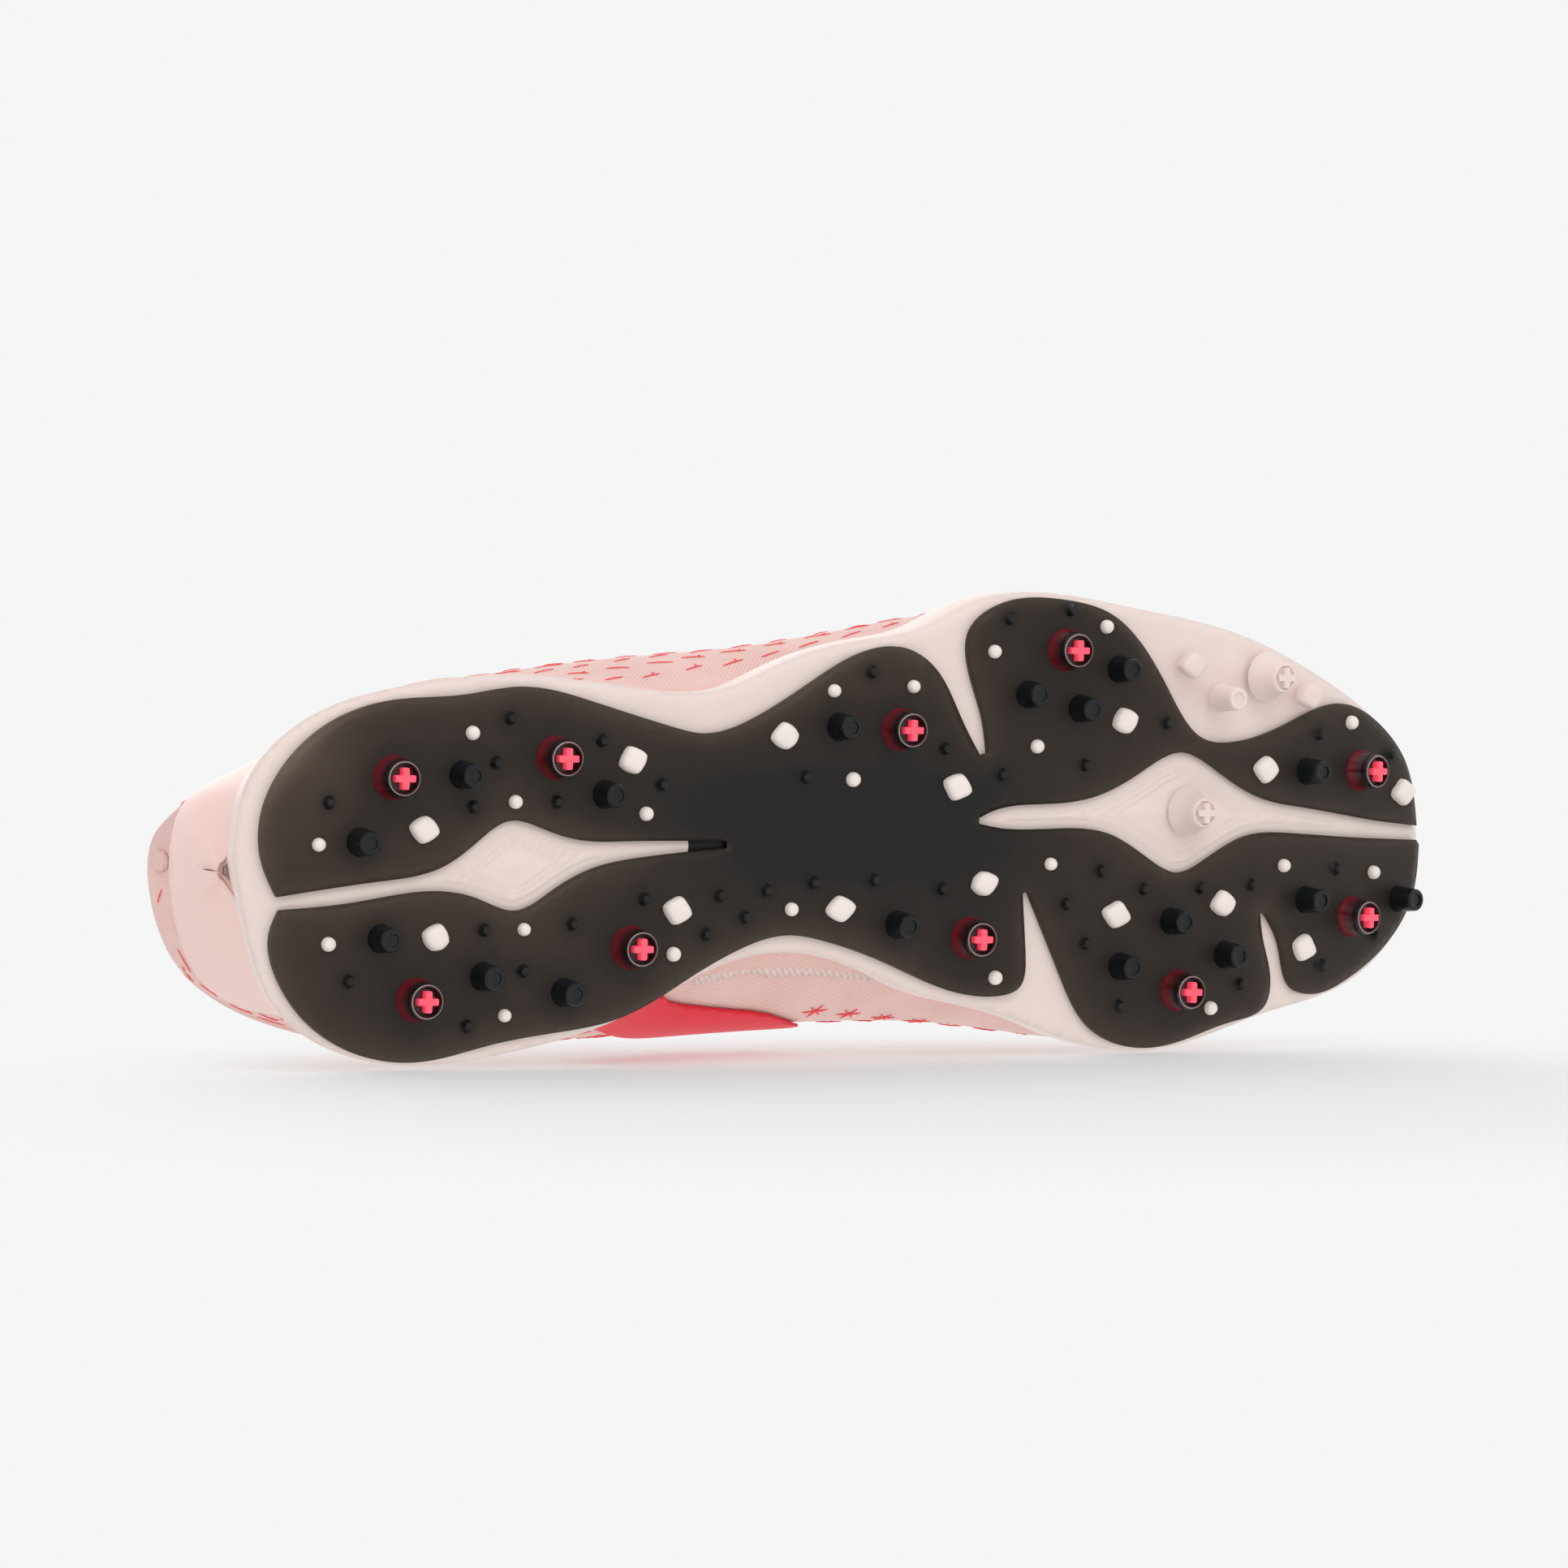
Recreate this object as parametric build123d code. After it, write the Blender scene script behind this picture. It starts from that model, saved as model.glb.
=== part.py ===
from build123d import *
import math
import os

# A right-foot soccer cleat, upright: +X to the toe, +Y to the medial side, +Z up, studs at z = 0.
# Points are read on the outsole, in millimetres; MID_X and MID_Y then bring the origin to its middle.
MID_X = -0.5
MID_Y = -2.8

# ---- driving dimensions ----
STUD_H = 6.5  # stud tip to underside of the plate
PLATE_T = 1.8  # smoked plate
SHANK_T = 2.9  # top of the shank, above the underside of the plate
BASE_T = 4.5  # floor of the pale base, above the underside of the plate
WALL_T = 13.5  # top of the base's side wall
BOARD_T = 5.9  # top of the lasting board
INSOLE_T = 9.5  # top of the insole
INSOLE_GAP = 0.9  # between the insole and the lining on each side, where the heel's walls lean in
SEAM = 0.05  # glued faces stand this far apart
TOE_START = 50.0  # the sole curves up ahead of this
TOE_R = 333.0
HEEL_START = -108.0  # and behind this
HEEL_R = 500.0

LINING_IN = 3.6  # depth of each skin below the upper's outer surface
LINING_OUT = 2.45
BACKING_IN = 2.4
BACKING_OUT = 1.25
KNIT_IN = 1.2
OVERLAY_GAP = -0.05
OVERLAY_OUT = -0.8
TONGUE_OUT = 8.6
TONGUE_IN = 10.8

FLEX_ANGLE = 21.0  # the flex line runs from notch to notch, oblique like the ball of a foot
FLEX_AT = (30.5, -2.3)
FLEX_GAP = 0.2
FLEX_HALF = 13.5  # half the wedge that closes as the forefoot bends 25 degrees
FOLD_AT = (-52.0, 0.5)  # where the tongue folds, under the top lace bar

THROAT_W = 11.5  # half-width of the throat
EYELET_Y = 17.5  # eyelets, from the throat's centre line
EYELET_R = 2.1
LACE_R = 1.2
LACE_TURN = 1.9  # radius of the lace's centre line as it turns into an eyelet
LACE_CLEAR = 0.4
AGLET_L = 1.8
UNDER_DEPTH = 7.6  # from the eyestay's outside down to the lace under the lining
LACE_ROWS = [4.0, -9.0, -22.0, -35.0, -48.0]
REACH = 260.0


def slab(low, high):
    """The layer between two heights above the underside of the plate, following the sole's curve."""

    def curve(t):
        toe_r = TOE_R - t
        heel_r = HEEL_R - t
        toe_turn = math.radians(19)
        heel_turn = math.radians(6)
        z = STUD_H + t
        front = (TOE_START + toe_r * math.sin(toe_turn), z + toe_r * (1 - math.cos(toe_turn)))
        front_mid = (TOE_START + toe_r * math.sin(toe_turn / 2), z + toe_r * (1 - math.cos(toe_turn / 2)))
        back = (HEEL_START - heel_r * math.sin(heel_turn), z + heel_r * (1 - math.cos(heel_turn)))
        back_mid = (HEEL_START - heel_r * math.sin(heel_turn / 2), z + heel_r * (1 - math.cos(heel_turn / 2)))
        return back, back_mid, (HEEL_START, z), (TOE_START, z), front_mid, front

    a = curve(low)
    b = curve(high)
    edges = [
        ThreePointArc(a[0], a[1], a[2]),
        Line(a[2], a[3]),
        ThreePointArc(a[3], a[4], a[5]),
        Line(a[5], b[5]),
        ThreePointArc(b[5], b[4], b[3]),
        Line(b[3], b[2]),
        ThreePointArc(b[2], b[1], b[0]),
        Line(b[0], a[0]),
    ]
    return extrude(Plane.XZ * make_face(edges), amount=80, both=True)


def sole_z(x):
    """Height of the underside of the plate."""
    rise = 0.0
    if x > TOE_START:
        rise = TOE_R - math.sqrt(TOE_R**2 - (x - TOE_START) ** 2)
    if x < HEEL_START:
        rise = HEEL_R - math.sqrt(HEEL_R**2 - (HEEL_START - x) ** 2)
    return STUD_H + rise


def prism(*runs, low=-10, high=140):
    """A closed outline of smooth runs, joined end to end by short straight lines, as a tall solid."""
    edges = []
    for i, run in enumerate(runs):
        edges.append(Spline(*run) if len(run) > 2 else Line(*run))
        following = runs[(i + 1) % len(runs)][0]
        if run[-1] != following:
            edges.append(Line(run[-1], following))
    return Pos(0, 0, low) * extrude(make_face(edges), amount=high - low)


def side_prism(*runs):
    """The same, drawn from the side in X and Z and as wide as the shoe."""
    edges = []
    for i, run in enumerate(runs):
        edges.append(Spline(*run) if len(run) > 2 else Line(*run))
        following = runs[(i + 1) % len(runs)][0]
        if run[-1] != following:
            edges.append(Line(run[-1], following))
    return extrude(Plane.XZ * make_face(edges), amount=90, both=True)


# ---- the flex line: everything that crosses it is in two halves, with a wedge between above the hinge ----
FLEX = Location((FLEX_AT[0], FLEX_AT[1], STUD_H), (0, 0, -FLEX_ANGLE))


def half_space(sign, gap=FLEX_GAP):
    tall = 120.0
    lean = tall * math.tan(math.radians(FLEX_HALF))
    points = [
        (-sign * gap, -20),
        (-sign * gap, 0),
        (-sign * (gap + lean), tall),
        (-sign * REACH, tall),
        (-sign * REACH, -20),
    ]
    face = Plane.XZ * make_face(Polyline(*points, close=True))
    return FLEX * extrude(face, amount=150, both=True)


REAR = half_space(1)
FRONT = half_space(-1)


def flex_wedge(gap):
    tall = 120.0
    lean = tall * math.tan(math.radians(FLEX_HALF))
    points = [(0, gap / math.tan(math.radians(FLEX_HALF))), (lean - gap, tall), (gap - lean, tall)]
    face = Plane.XZ * make_face(Polyline(*points, close=True))
    return FLEX * extrude(face, amount=150, both=True)


# ---- outsole outlines ----
HEEL_LATERAL = [(-137.3, 11.5), (-140.6, 4), (-140.5, -6), (-136.7, -14), (-126.7, -23.3), (-113, -28)]
HEEL_LATERAL += [(-96.7, -29.2), (-84, -30.9), (-68, -28), (-50, -23), (-41.3, -21.5), (-30, -24.7)]
HEEL_LATERAL += [(-15, -33.3), (-3.3, -39), (5, -39.6), (12.7, -35.3), (19.3, -24.7), (24, -17)]
FORE_LATERAL = [(26, -17.5), (24.7, -24.7), (20.6, -37.5), (20.7, -42.3), (29.3, -49.3), (43.3, -50.2)]
FORE_LATERAL += [(56, -47), (64.3, -40), (71.7, -29.7), (80, -20.8), (88, -19.8), (105, -24.2)]
FORE_LATERAL += [(119.7, -28.1), (132.3, -23), (140.8, -14), (144.3, -1)]
TOE_SLOT_LATERAL = [(144.3, -1), (131.7, -2.3), (110, -5.4), (97, -7.7), (85, -13.5), (74.5, -17.7)]
TOE_SLOT_LATERAL += [(64, -13.4), (52, -8.1), (40, -6.7), (27, -5.1), (24.1, -3.8)]
TOE_SLOT_MEDIAL = [(24.1, -2.6), (29, -1.7), (45, -1.5), (55, -0.7), (66, 4.7), (74.5, 8.2), (83, 5)]
TOE_SLOT_MEDIAL += [(94, 0.3), (105, 0), (125, 1.3), (144.3, 2.2)]
TOE_MEDIAL = [(145.2, 3.2), (143.7, 14), (136.5, 24), (123, 32.5), (111.7, 35.3), (107, 33.8), (103, 24)]
TOE_MEDIAL += [(98.3, 17)]
FORE_MEDIAL = [(97.2, 17.4), (98.2, 23), (100.6, 32), (99.5, 37), (90, 40.7), (77, 44.3), (64, 45.6)]
FORE_MEDIAL += [(52.5, 40.8), (45.5, 30), (40, 18.7), (36.6, 11.8)]
REAR_MEDIAL = [(35.2, 12.2), (36.2, 24), (35, 32.2), (29, 34), (14, 31.3), (0.7, 25.9), (-12, 21.9)]
REAR_MEDIAL += [(-22, 20.5), (-32, 23), (-45, 29.5), (-60, 37), (-75, 39.8), (-90, 42.1), (-104.7, 45.1)]
REAR_MEDIAL += [(-117, 44.1), (-128, 38.8), (-136, 29.5), (-138.5, 18.7), (-136.7, 14.2)]
HEEL_SLOT_MEDIAL = [(-136.7, 14.2), (-120, 12.7), (-103, 10.6), (-94, 11.9), (-84, 14.7), (-76, 10.8)]
HEEL_SLOT_MEDIAL += [(-67, 6.3), (-55, 4), (-36, 2.2)]
HEEL_SLOT_LATERAL = [(-36, 0.8), (-60, 0.7), (-70, 0.4), (-78, -1.8), (-86.3, -3.6), (-94, 1), (-102, 6)]
HEEL_SLOT_LATERAL += [(-115, 8.5), (-137.3, 11.5)]
PLATE_OUTLINE = [HEEL_LATERAL, FORE_LATERAL, TOE_SLOT_LATERAL, TOE_SLOT_MEDIAL, TOE_MEDIAL, FORE_MEDIAL]
PLATE_OUTLINE += [REAR_MEDIAL, HEEL_SLOT_MEDIAL, HEEL_SLOT_LATERAL]

RIM_LATERAL = [(-146, 4), (-143, -12), (-130, -24.7), (-110, -30.8), (-90, -33.2), (-70, -32.3)]
RIM_LATERAL += [(-50, -30), (-38, -30.3), (-23, -36), (-5, -40.8), (10, -43.6), (22, -49), (43, -51.3)]
RIM_LATERAL += [(62, -48.6), (90, -43.3), (112, -35), (130, -25.5), (141, -15.5), (146, 2)]
RIM_MEDIAL = [(146, 2), (144.8, 14), (137.5, 25), (122, 34.3), (100, 39.3), (77, 45.4), (62, 46.4)]
RIM_MEDIAL += [(46, 43), (30, 37.6), (10, 33), (-5, 27.2), (-22, 24.2), (-38, 27.4), (-60, 37.6)]
RIM_MEDIAL += [(-80, 43), (-104, 46), (-122, 43.4), (-136, 34.5), (-143, 18.5), (-146, 4)]
# Round the heel the wall leans in by this much, as its height above the floor reaches LEAN_TOP.
LEAN_LATERAL = [(3.5, 0.5), (3.2, 1.7), (2.0, 3.1), (0.8, 1.9), (0.2, 0.8), (0, 0.3)]
LEAN_MEDIAL = [(0, -0.2), (0.2, -0.5), (1.0, -1.2), (2.2, -1.5), (3.2, -0.9), (3.5, 0.5)]
LEAN_TOP = 22.0

# Cross studs, medium round studs, and the moulded trim between them: where each meets the plate.
CROSS_STUDS = [(-113, -12.5), (-76.5, -16.5), (-107, 32.5), (-58.5, 22.5), (4, -22.5), (22, 21.5)]
CROSS_STUDS += [(44, -39.5), (74.5, 33.5), (125, -13.5), (123.5, 18.5)]
PALE_CROSS_STUDS = [(96.5, -34), (76, -5)]
ROUND_STUDS = [(-120, 0.5), (-97.5, -13), (-65, -9), (-115, 20), (-92, 28), (-73.5, 31.5), (-10.5, -23)]
ROUND_STUDS += [(4.5, 18.5), (35, -30), (48, -27), (57.5, -35.5), (72.5, 18.5), (59.5, 28), (87, 26)]
ROUND_STUDS += [(109, -13.5), (109.5, 14.5), (138, 15)]
PALE_ROUND_STUDS = [(83.5, -29.5)]
PEBBLES = [(-106, -2), (-103, 20), (-59, -16), (-48, 15), (-23.5, -21), (18, -10.5), (-9.5, 15), (25, 10)]
PEBBLES += [(59, -24.5), (97, -14), (138.5, -8.5), (58, 17), (86, 15), (109, 25)]
PALE_PEBBLES = [(75, -36.5), (107.5, -30)]
PIPS = [(-129, 1), (-95.5, -21.5), (-85.5, -7.5), (-55.5, -5), (-126.5, 21), (-87, 36), (-83, 18.5)]
PIPS += [(-48.5, 24), (-12, -30.5), (7, -31.5), (-7, -12), (26.5, -39), (37.5, -19), (-21, 15), (41.5, 6)]
PIPS += [(28.5, 30), (54, -44.5), (122, -24), (103, 7), (130, 9), (83.5, 37.5)]
NUBS = [(-127, -7.5), (-87, -24.5), (-90, -15.5), (-66, -20), (-52, -11), (-95, -6.5), (-76, -7.5)]
NUBS += [(-122, 28.5), (-95.5, 38), (-92, 18.5), (-83, 27), (-72, 17.5), (-55.5, 12.5), (-3, -34.5)]
NUBS += [(-18.5, -12.5), (15, -18.5), (29, -13), (30, -46), (45, -48), (49.5, -15), (-38, 12), (-32, 16.5)]
NUBS += [(-41, 20), (-27, 11), (-16, 9.5), (-1.5, 9), (15, 11), (45.5, 14.5), (50.5, 23), (70, -24)]
NUBS += [(112.5, -21.5), (134.5, -17), (54, 7.5), (65, 11.5), (80, 11.5), (94, 11), (118.5, 8)]
NUBS += [(59.5, 36.5), (91.5, 32.5), (115, 29), (131, 23)]

# ---- the upper: cross-sections of its outer surface from heel to toe ----
# x, then all in y: lateral foot, widest, shoulder; medial shoulder, widest, foot; then crest y and crest z
SECTIONS = [
    (-143.5, 2, 0, 2, 11, 13, 12, 7, 44),
    (-141.5, -4, -5, 1, 16, 19.5, 18, 8, 62),
    (-138, -9, -9.5, 0.5, 22.5, 27.5, 26, 11, 78),
    (-131, -15, -14, 0, 28, 33.5, 33.5, 12, 92),
    (-119, -22.5, -20, -4, 33, 38.5, 39.5, 11, 104),
    (-100, -29, -27.5, -13.5, 36, 43, 43, 8, 109),
    (-70, -29.5, -31.5, -21.5, 33, 42.5, 37.5, 4, 103),
    (-40, -27, -34.5, -26, 31, 40.5, 25, 1, 86),
    (-10, -35.5, -39.5, -30, 29.5, 39.8, 22.5, -1, 74),
    (25, -44.5, -46.5, -36.5, 31, 41, 33, -2, 62.5),
    (60, -45.5, -47.5, -36.5, 33.5, 44.5, 43, -2, 53),
    (90, -40, -41.5, -31.8, 30.9, 41, 38.5, -1, 49.5),
    (115, -30.5, -31.5, -23.7, 26.5, 34.5, 32.5, 1, 47),
    (130, -22, -22.5, -16.7, 21.3, 27.5, 26.5, 1.5, 44.5),
    (139, -13, -14, -10, 14.7, 18.5, 17.5, 2.5, 41.5),
    (143.5, -3.5, -4.5, -2.7, 7.9, 9.5, 8.5, 3, 37.5),
]
HEEL_LIFT = {-143.5: 14.0, -141.5: 4.0}  # the back of the heel turns in under itself
FOOT_DROP = 1.5  # the sections start this far above the underside of the plate
FOOT_STEP = 0.4  # deeper skins start lower, so that each passes out through the next one's foot
WIDE_H = 19.0  # most height of the widest point above the foot
WIDE_SHARE = 0.42  # and its most share of the height
SHOULDER = 0.76  # how square the shoulder between side and crest is


def upper_solid(depth, sections=SECTIONS):
    """The upper's outer form, shrunk evenly by a depth."""
    first = SECTIONS[0][0]
    last = SECTIONS[-1][0]
    middle = (first + last) / 2
    shrink = (last - first - 2 * depth) / (last - first)
    faces = []
    for x, foot_l, wide_l, top_l, top_m, wide_m, foot_m, crest_y, crest_z in sections:
        z0 = sole_z(x) + FOOT_DROP - FOOT_STEP * depth + HEEL_LIFT.get(x, 0)
        zc = crest_z - depth
        zw = z0 + min(WIDE_H, WIDE_SHARE * (zc - z0))
        low_l = foot_l + depth
        low_m = foot_m - depth
        side_l = wide_l + depth
        side_m = wide_m - depth
        shoulder_z = zw + SHOULDER * (zc - zw)
        shoulder_l = top_l + SHOULDER * depth
        shoulder_m = top_m - SHOULDER * depth
        arch = Spline(
            (low_l, z0),
            (side_l, zw),
            (shoulder_l, shoulder_z),
            (crest_y, zc),
            (shoulder_m, shoulder_z),
            (side_m, zw),
            (low_m, z0),
        )
        face = make_face([arch, Line((low_m, z0), (low_l, z0))])
        faces.append(Pos(middle + (x - middle) * shrink, 0, 0) * (Plane.YZ * face))
    return loft(faces)


# ---- the upper's openings, drawn from the side ----
COLLAR_LINE = [(-160, 66), (-137, 64), (-118, 57.5), (-96, 54), (-76, 60), (-62, 74), (-52, 90)]


def below_collar(drop):
    """Everything at or below the collar line, lowered by a drop."""
    line = [(x, z - drop) for x, z in COLLAR_LINE]
    return side_prism(line, [line[-1], (-40, 140)], [(-40, 140), (170, 140)], [(170, 140), (170, -5)],
                      [(170, -5), (-160, -5)], [(-160, -5), line[0]])


def crest_y(x):
    for a, b in zip(SECTIONS, SECTIONS[1:]):
        if a[0] <= x <= b[0]:
            part = (x - a[0]) / (b[0] - a[0])
            return a[7] + part * (b[7] - a[7])
    return 0.0


THROAT_END = 9.0
THROAT = prism(
    [(-75, crest_y(-75) - THROAT_W - 4), (-50, crest_y(-50) - THROAT_W - 1), (-5, crest_y(-5) - THROAT_W + 2.5),
     (THROAT_END, crest_y(THROAT_END)), (-5, crest_y(-5) + THROAT_W - 2.5), (-50, crest_y(-50) + THROAT_W + 1),
     (-75, crest_y(-75) + THROAT_W + 4)],
    low=40,
)


def save(name, shape):
    """Write one node, shifted so that the origin lies under the middle of the shoe."""
    solids = [s for s in shape.solids() if s.volume > 0.4]
    whole = Compound(children=solids) if len(solids) > 1 else solids[0]
    export_step(Pos(-MID_X, -MID_Y, 0) * whole, "parts/" + name + ".step")


def both_halves(name, shape):
    save(name + "_rear", shape & REAR)
    save(name + "_front", shape & FRONT)


def is_rear(point):
    """Whether a stud stands behind the flex line."""
    dx = point[0] - FLEX_AT[0]
    dy = point[1] - FLEX_AT[1]
    angle = math.radians(FLEX_ANGLE)
    return dx * math.cos(angle) - dy * math.sin(angle) < 0


def on_sole(point, drop=0.0):
    """Where a stud stands: its own +Z points away from the sole, square to it."""
    x, y = point
    lean = 0.0
    if x > TOE_START:
        lean = math.degrees(math.asin((x - TOE_START) / TOE_R))
    if x < HEEL_START:
        lean = -math.degrees(math.asin((HEEL_START - x) / HEEL_R))
    return Location((x, y, sole_z(x)), (180, lean, 0)) * Pos(0, 0, drop)


def group(name, points, make, drop=0.0):
    """One node for each body from equal solids at many points."""
    for body, wanted in (("rear", True), ("front", False)):
        places = [p for p in points if is_rear(p) == wanted]
        if places:
            save(name + "_" + body, Compound(children=[on_sole(p, drop) * make() for p in places]))


# ---- studs ----
SHELL_ROOT_R = 4.6
SHELL_TIP_R = 3.7
CORE_R = 2.95
CROSS_SPAN = 4.4
CROSS_ARM = 1.3
CROSS_H = 0.7


def turned(*profile):
    """A solid of revolution from radius and height points."""
    return revolve(Plane.XZ * make_face(Polyline(*profile, close=True)), Axis.Z)


def cross_shell():
    top = STUD_H - CROSS_H
    r = CORE_R + 0.05
    return turned((r, 0), (SHELL_ROOT_R, 0), (SHELL_ROOT_R - 0.35, 2.2), (SHELL_TIP_R + 0.3, 3.6),
                  (SHELL_TIP_R, top - 0.5), (SHELL_TIP_R - 0.3, top), (r, top))


def cross_core():
    top = STUD_H - CROSS_H - 0.3
    core = turned((0, 0), (CORE_R, 0), (CORE_R, top), (0, top))
    arms = Box(CROSS_SPAN, CROSS_ARM, 2) + Box(CROSS_ARM, CROSS_SPAN, 2)
    return core + Pos(0, 0, STUD_H - 1) * arms


def pale_cross():
    body = turned((0, 0), (4.2, 0), (3.4, 3.4), (3.2, 4.7), (2.8, 5.0), (0, 5.0))
    arms = Box(CROSS_SPAN, CROSS_ARM, 1.6) + Box(CROSS_ARM, CROSS_SPAN, 1.6)
    return body + Pos(0, 0, 4.9) * arms


def round_stud():
    return turned((0, 0), (3.0, 0), (2.55, 3.6), (2.35, 5.4), (2.05, 5.8), (1.35, 5.8), (1.2, 5.3), (0, 5.3))


def pebble():
    outline = make_face(Spline((3.3, 0), (2.1, 2.1), (0, 2.8), (-2.1, 2.1), (-3.3, 0), (-2.1, -2.1),
                               (0, -2.8), (2.1, -2.1), periodic=True))
    return loft([outline, Pos(0, 0, 1.3) * outline.scale(0.9), Pos(0, 0, 2.1) * outline.scale(0.6)])


def pip():
    return turned((0, 0), (1.4, 0), (1.25, 0.9), (0.75, 1.5), (0, 1.6))


def nub():
    return turned((0, 0), (1.15, 0), (1.0, 1.1), (0.6, 1.5), (0, 1.5))


def studs():
    group("cross_stud_shells", CROSS_STUDS, cross_shell)
    group("cross_stud_cores", CROSS_STUDS, cross_core)
    group("round_studs", ROUND_STUDS, round_stud)
    group("pebbles", PEBBLES, pebble)
    group("pips", PIPS, pip)
    group("nubs", NUBS, nub)
    pale = [on_sole(p, -PLATE_T) * pale_cross() for p in PALE_CROSS_STUDS]
    pale += [on_sole(p, -PLATE_T) * round_stud() for p in PALE_ROUND_STUDS]
    pale += [on_sole(p, -PLATE_T) * pebble() for p in PALE_PEBBLES]
    save("pale_studs_front", Compound(children=pale))


SHANK_OUTLINE = [(-62, 2), (-40, -12), (-10, -13), (6, -5), (8, 3), (-8, 8), (-40, 12), (-58, 9), (-62, 2)]


def leaning_rim():
    """The base's outline as a tall solid whose wall leans in round the heel."""
    first = len(RIM_MEDIAL) - len(LEAN_MEDIAL)
    high_l = [(x + LEAN_LATERAL[i][0], y + LEAN_LATERAL[i][1]) if i < len(LEAN_LATERAL) else (x, y)
              for i, (x, y) in enumerate(RIM_LATERAL)]
    high_m = [(x + LEAN_MEDIAL[i - first][0], y + LEAN_MEDIAL[i - first][1]) if i >= first else (x, y)
              for i, (x, y) in enumerate(RIM_MEDIAL)]
    low_face = make_face([Spline(*RIM_LATERAL), Spline(*RIM_MEDIAL)])
    high_face = make_face([Spline(*high_l), Spline(*high_m)])
    leaning = loft([Pos(0, 0, STUD_H) * low_face, Pos(0, 0, LEAN_TOP) * high_face], ruled=True)
    return leaning + Pos(0, 0, LEAN_TOP) * extrude(high_face, amount=40)


def sole(outer, cavity):
    plate = prism(*PLATE_OUTLINE) & slab(0, PLATE_T)
    both_halves("smoked_plate", plate)
    shank = prism(SHANK_OUTLINE) & slab(PLATE_T + SEAM, SHANK_T)
    save("shank", shank)
    rim = leaning_rim()
    base = (rim & slab(PLATE_T + SEAM, WALL_T)) - (outer & slab(BASE_T, 200))
    base -= prism(SHANK_OUTLINE) & slab(0, SHANK_T + SEAM)
    both_halves("pale_base", base)
    board = cavity & slab(BASE_T + SEAM, BOARD_T)
    both_halves("lasting_board", board)
    bed = cavity & slab(BOARD_T + SEAM, INSOLE_T)
    insole = bed & (Pos(0, INSOLE_GAP, 0) * bed) & (Pos(0, -INSOLE_GAP, 0) * bed)
    both_halves("insole", insole)
    save("insole_flex_zone", insole & flex_wedge(0.3))


def eyelet_holes(radius):
    holes = []
    for x in LACE_ROWS:
        for side in (-1, 1):
            holes.append(Pos(x, crest_y(x) + side * EYELET_Y, 75) * Cylinder(radius, 110))
    return Compound(children=holes)


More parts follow.
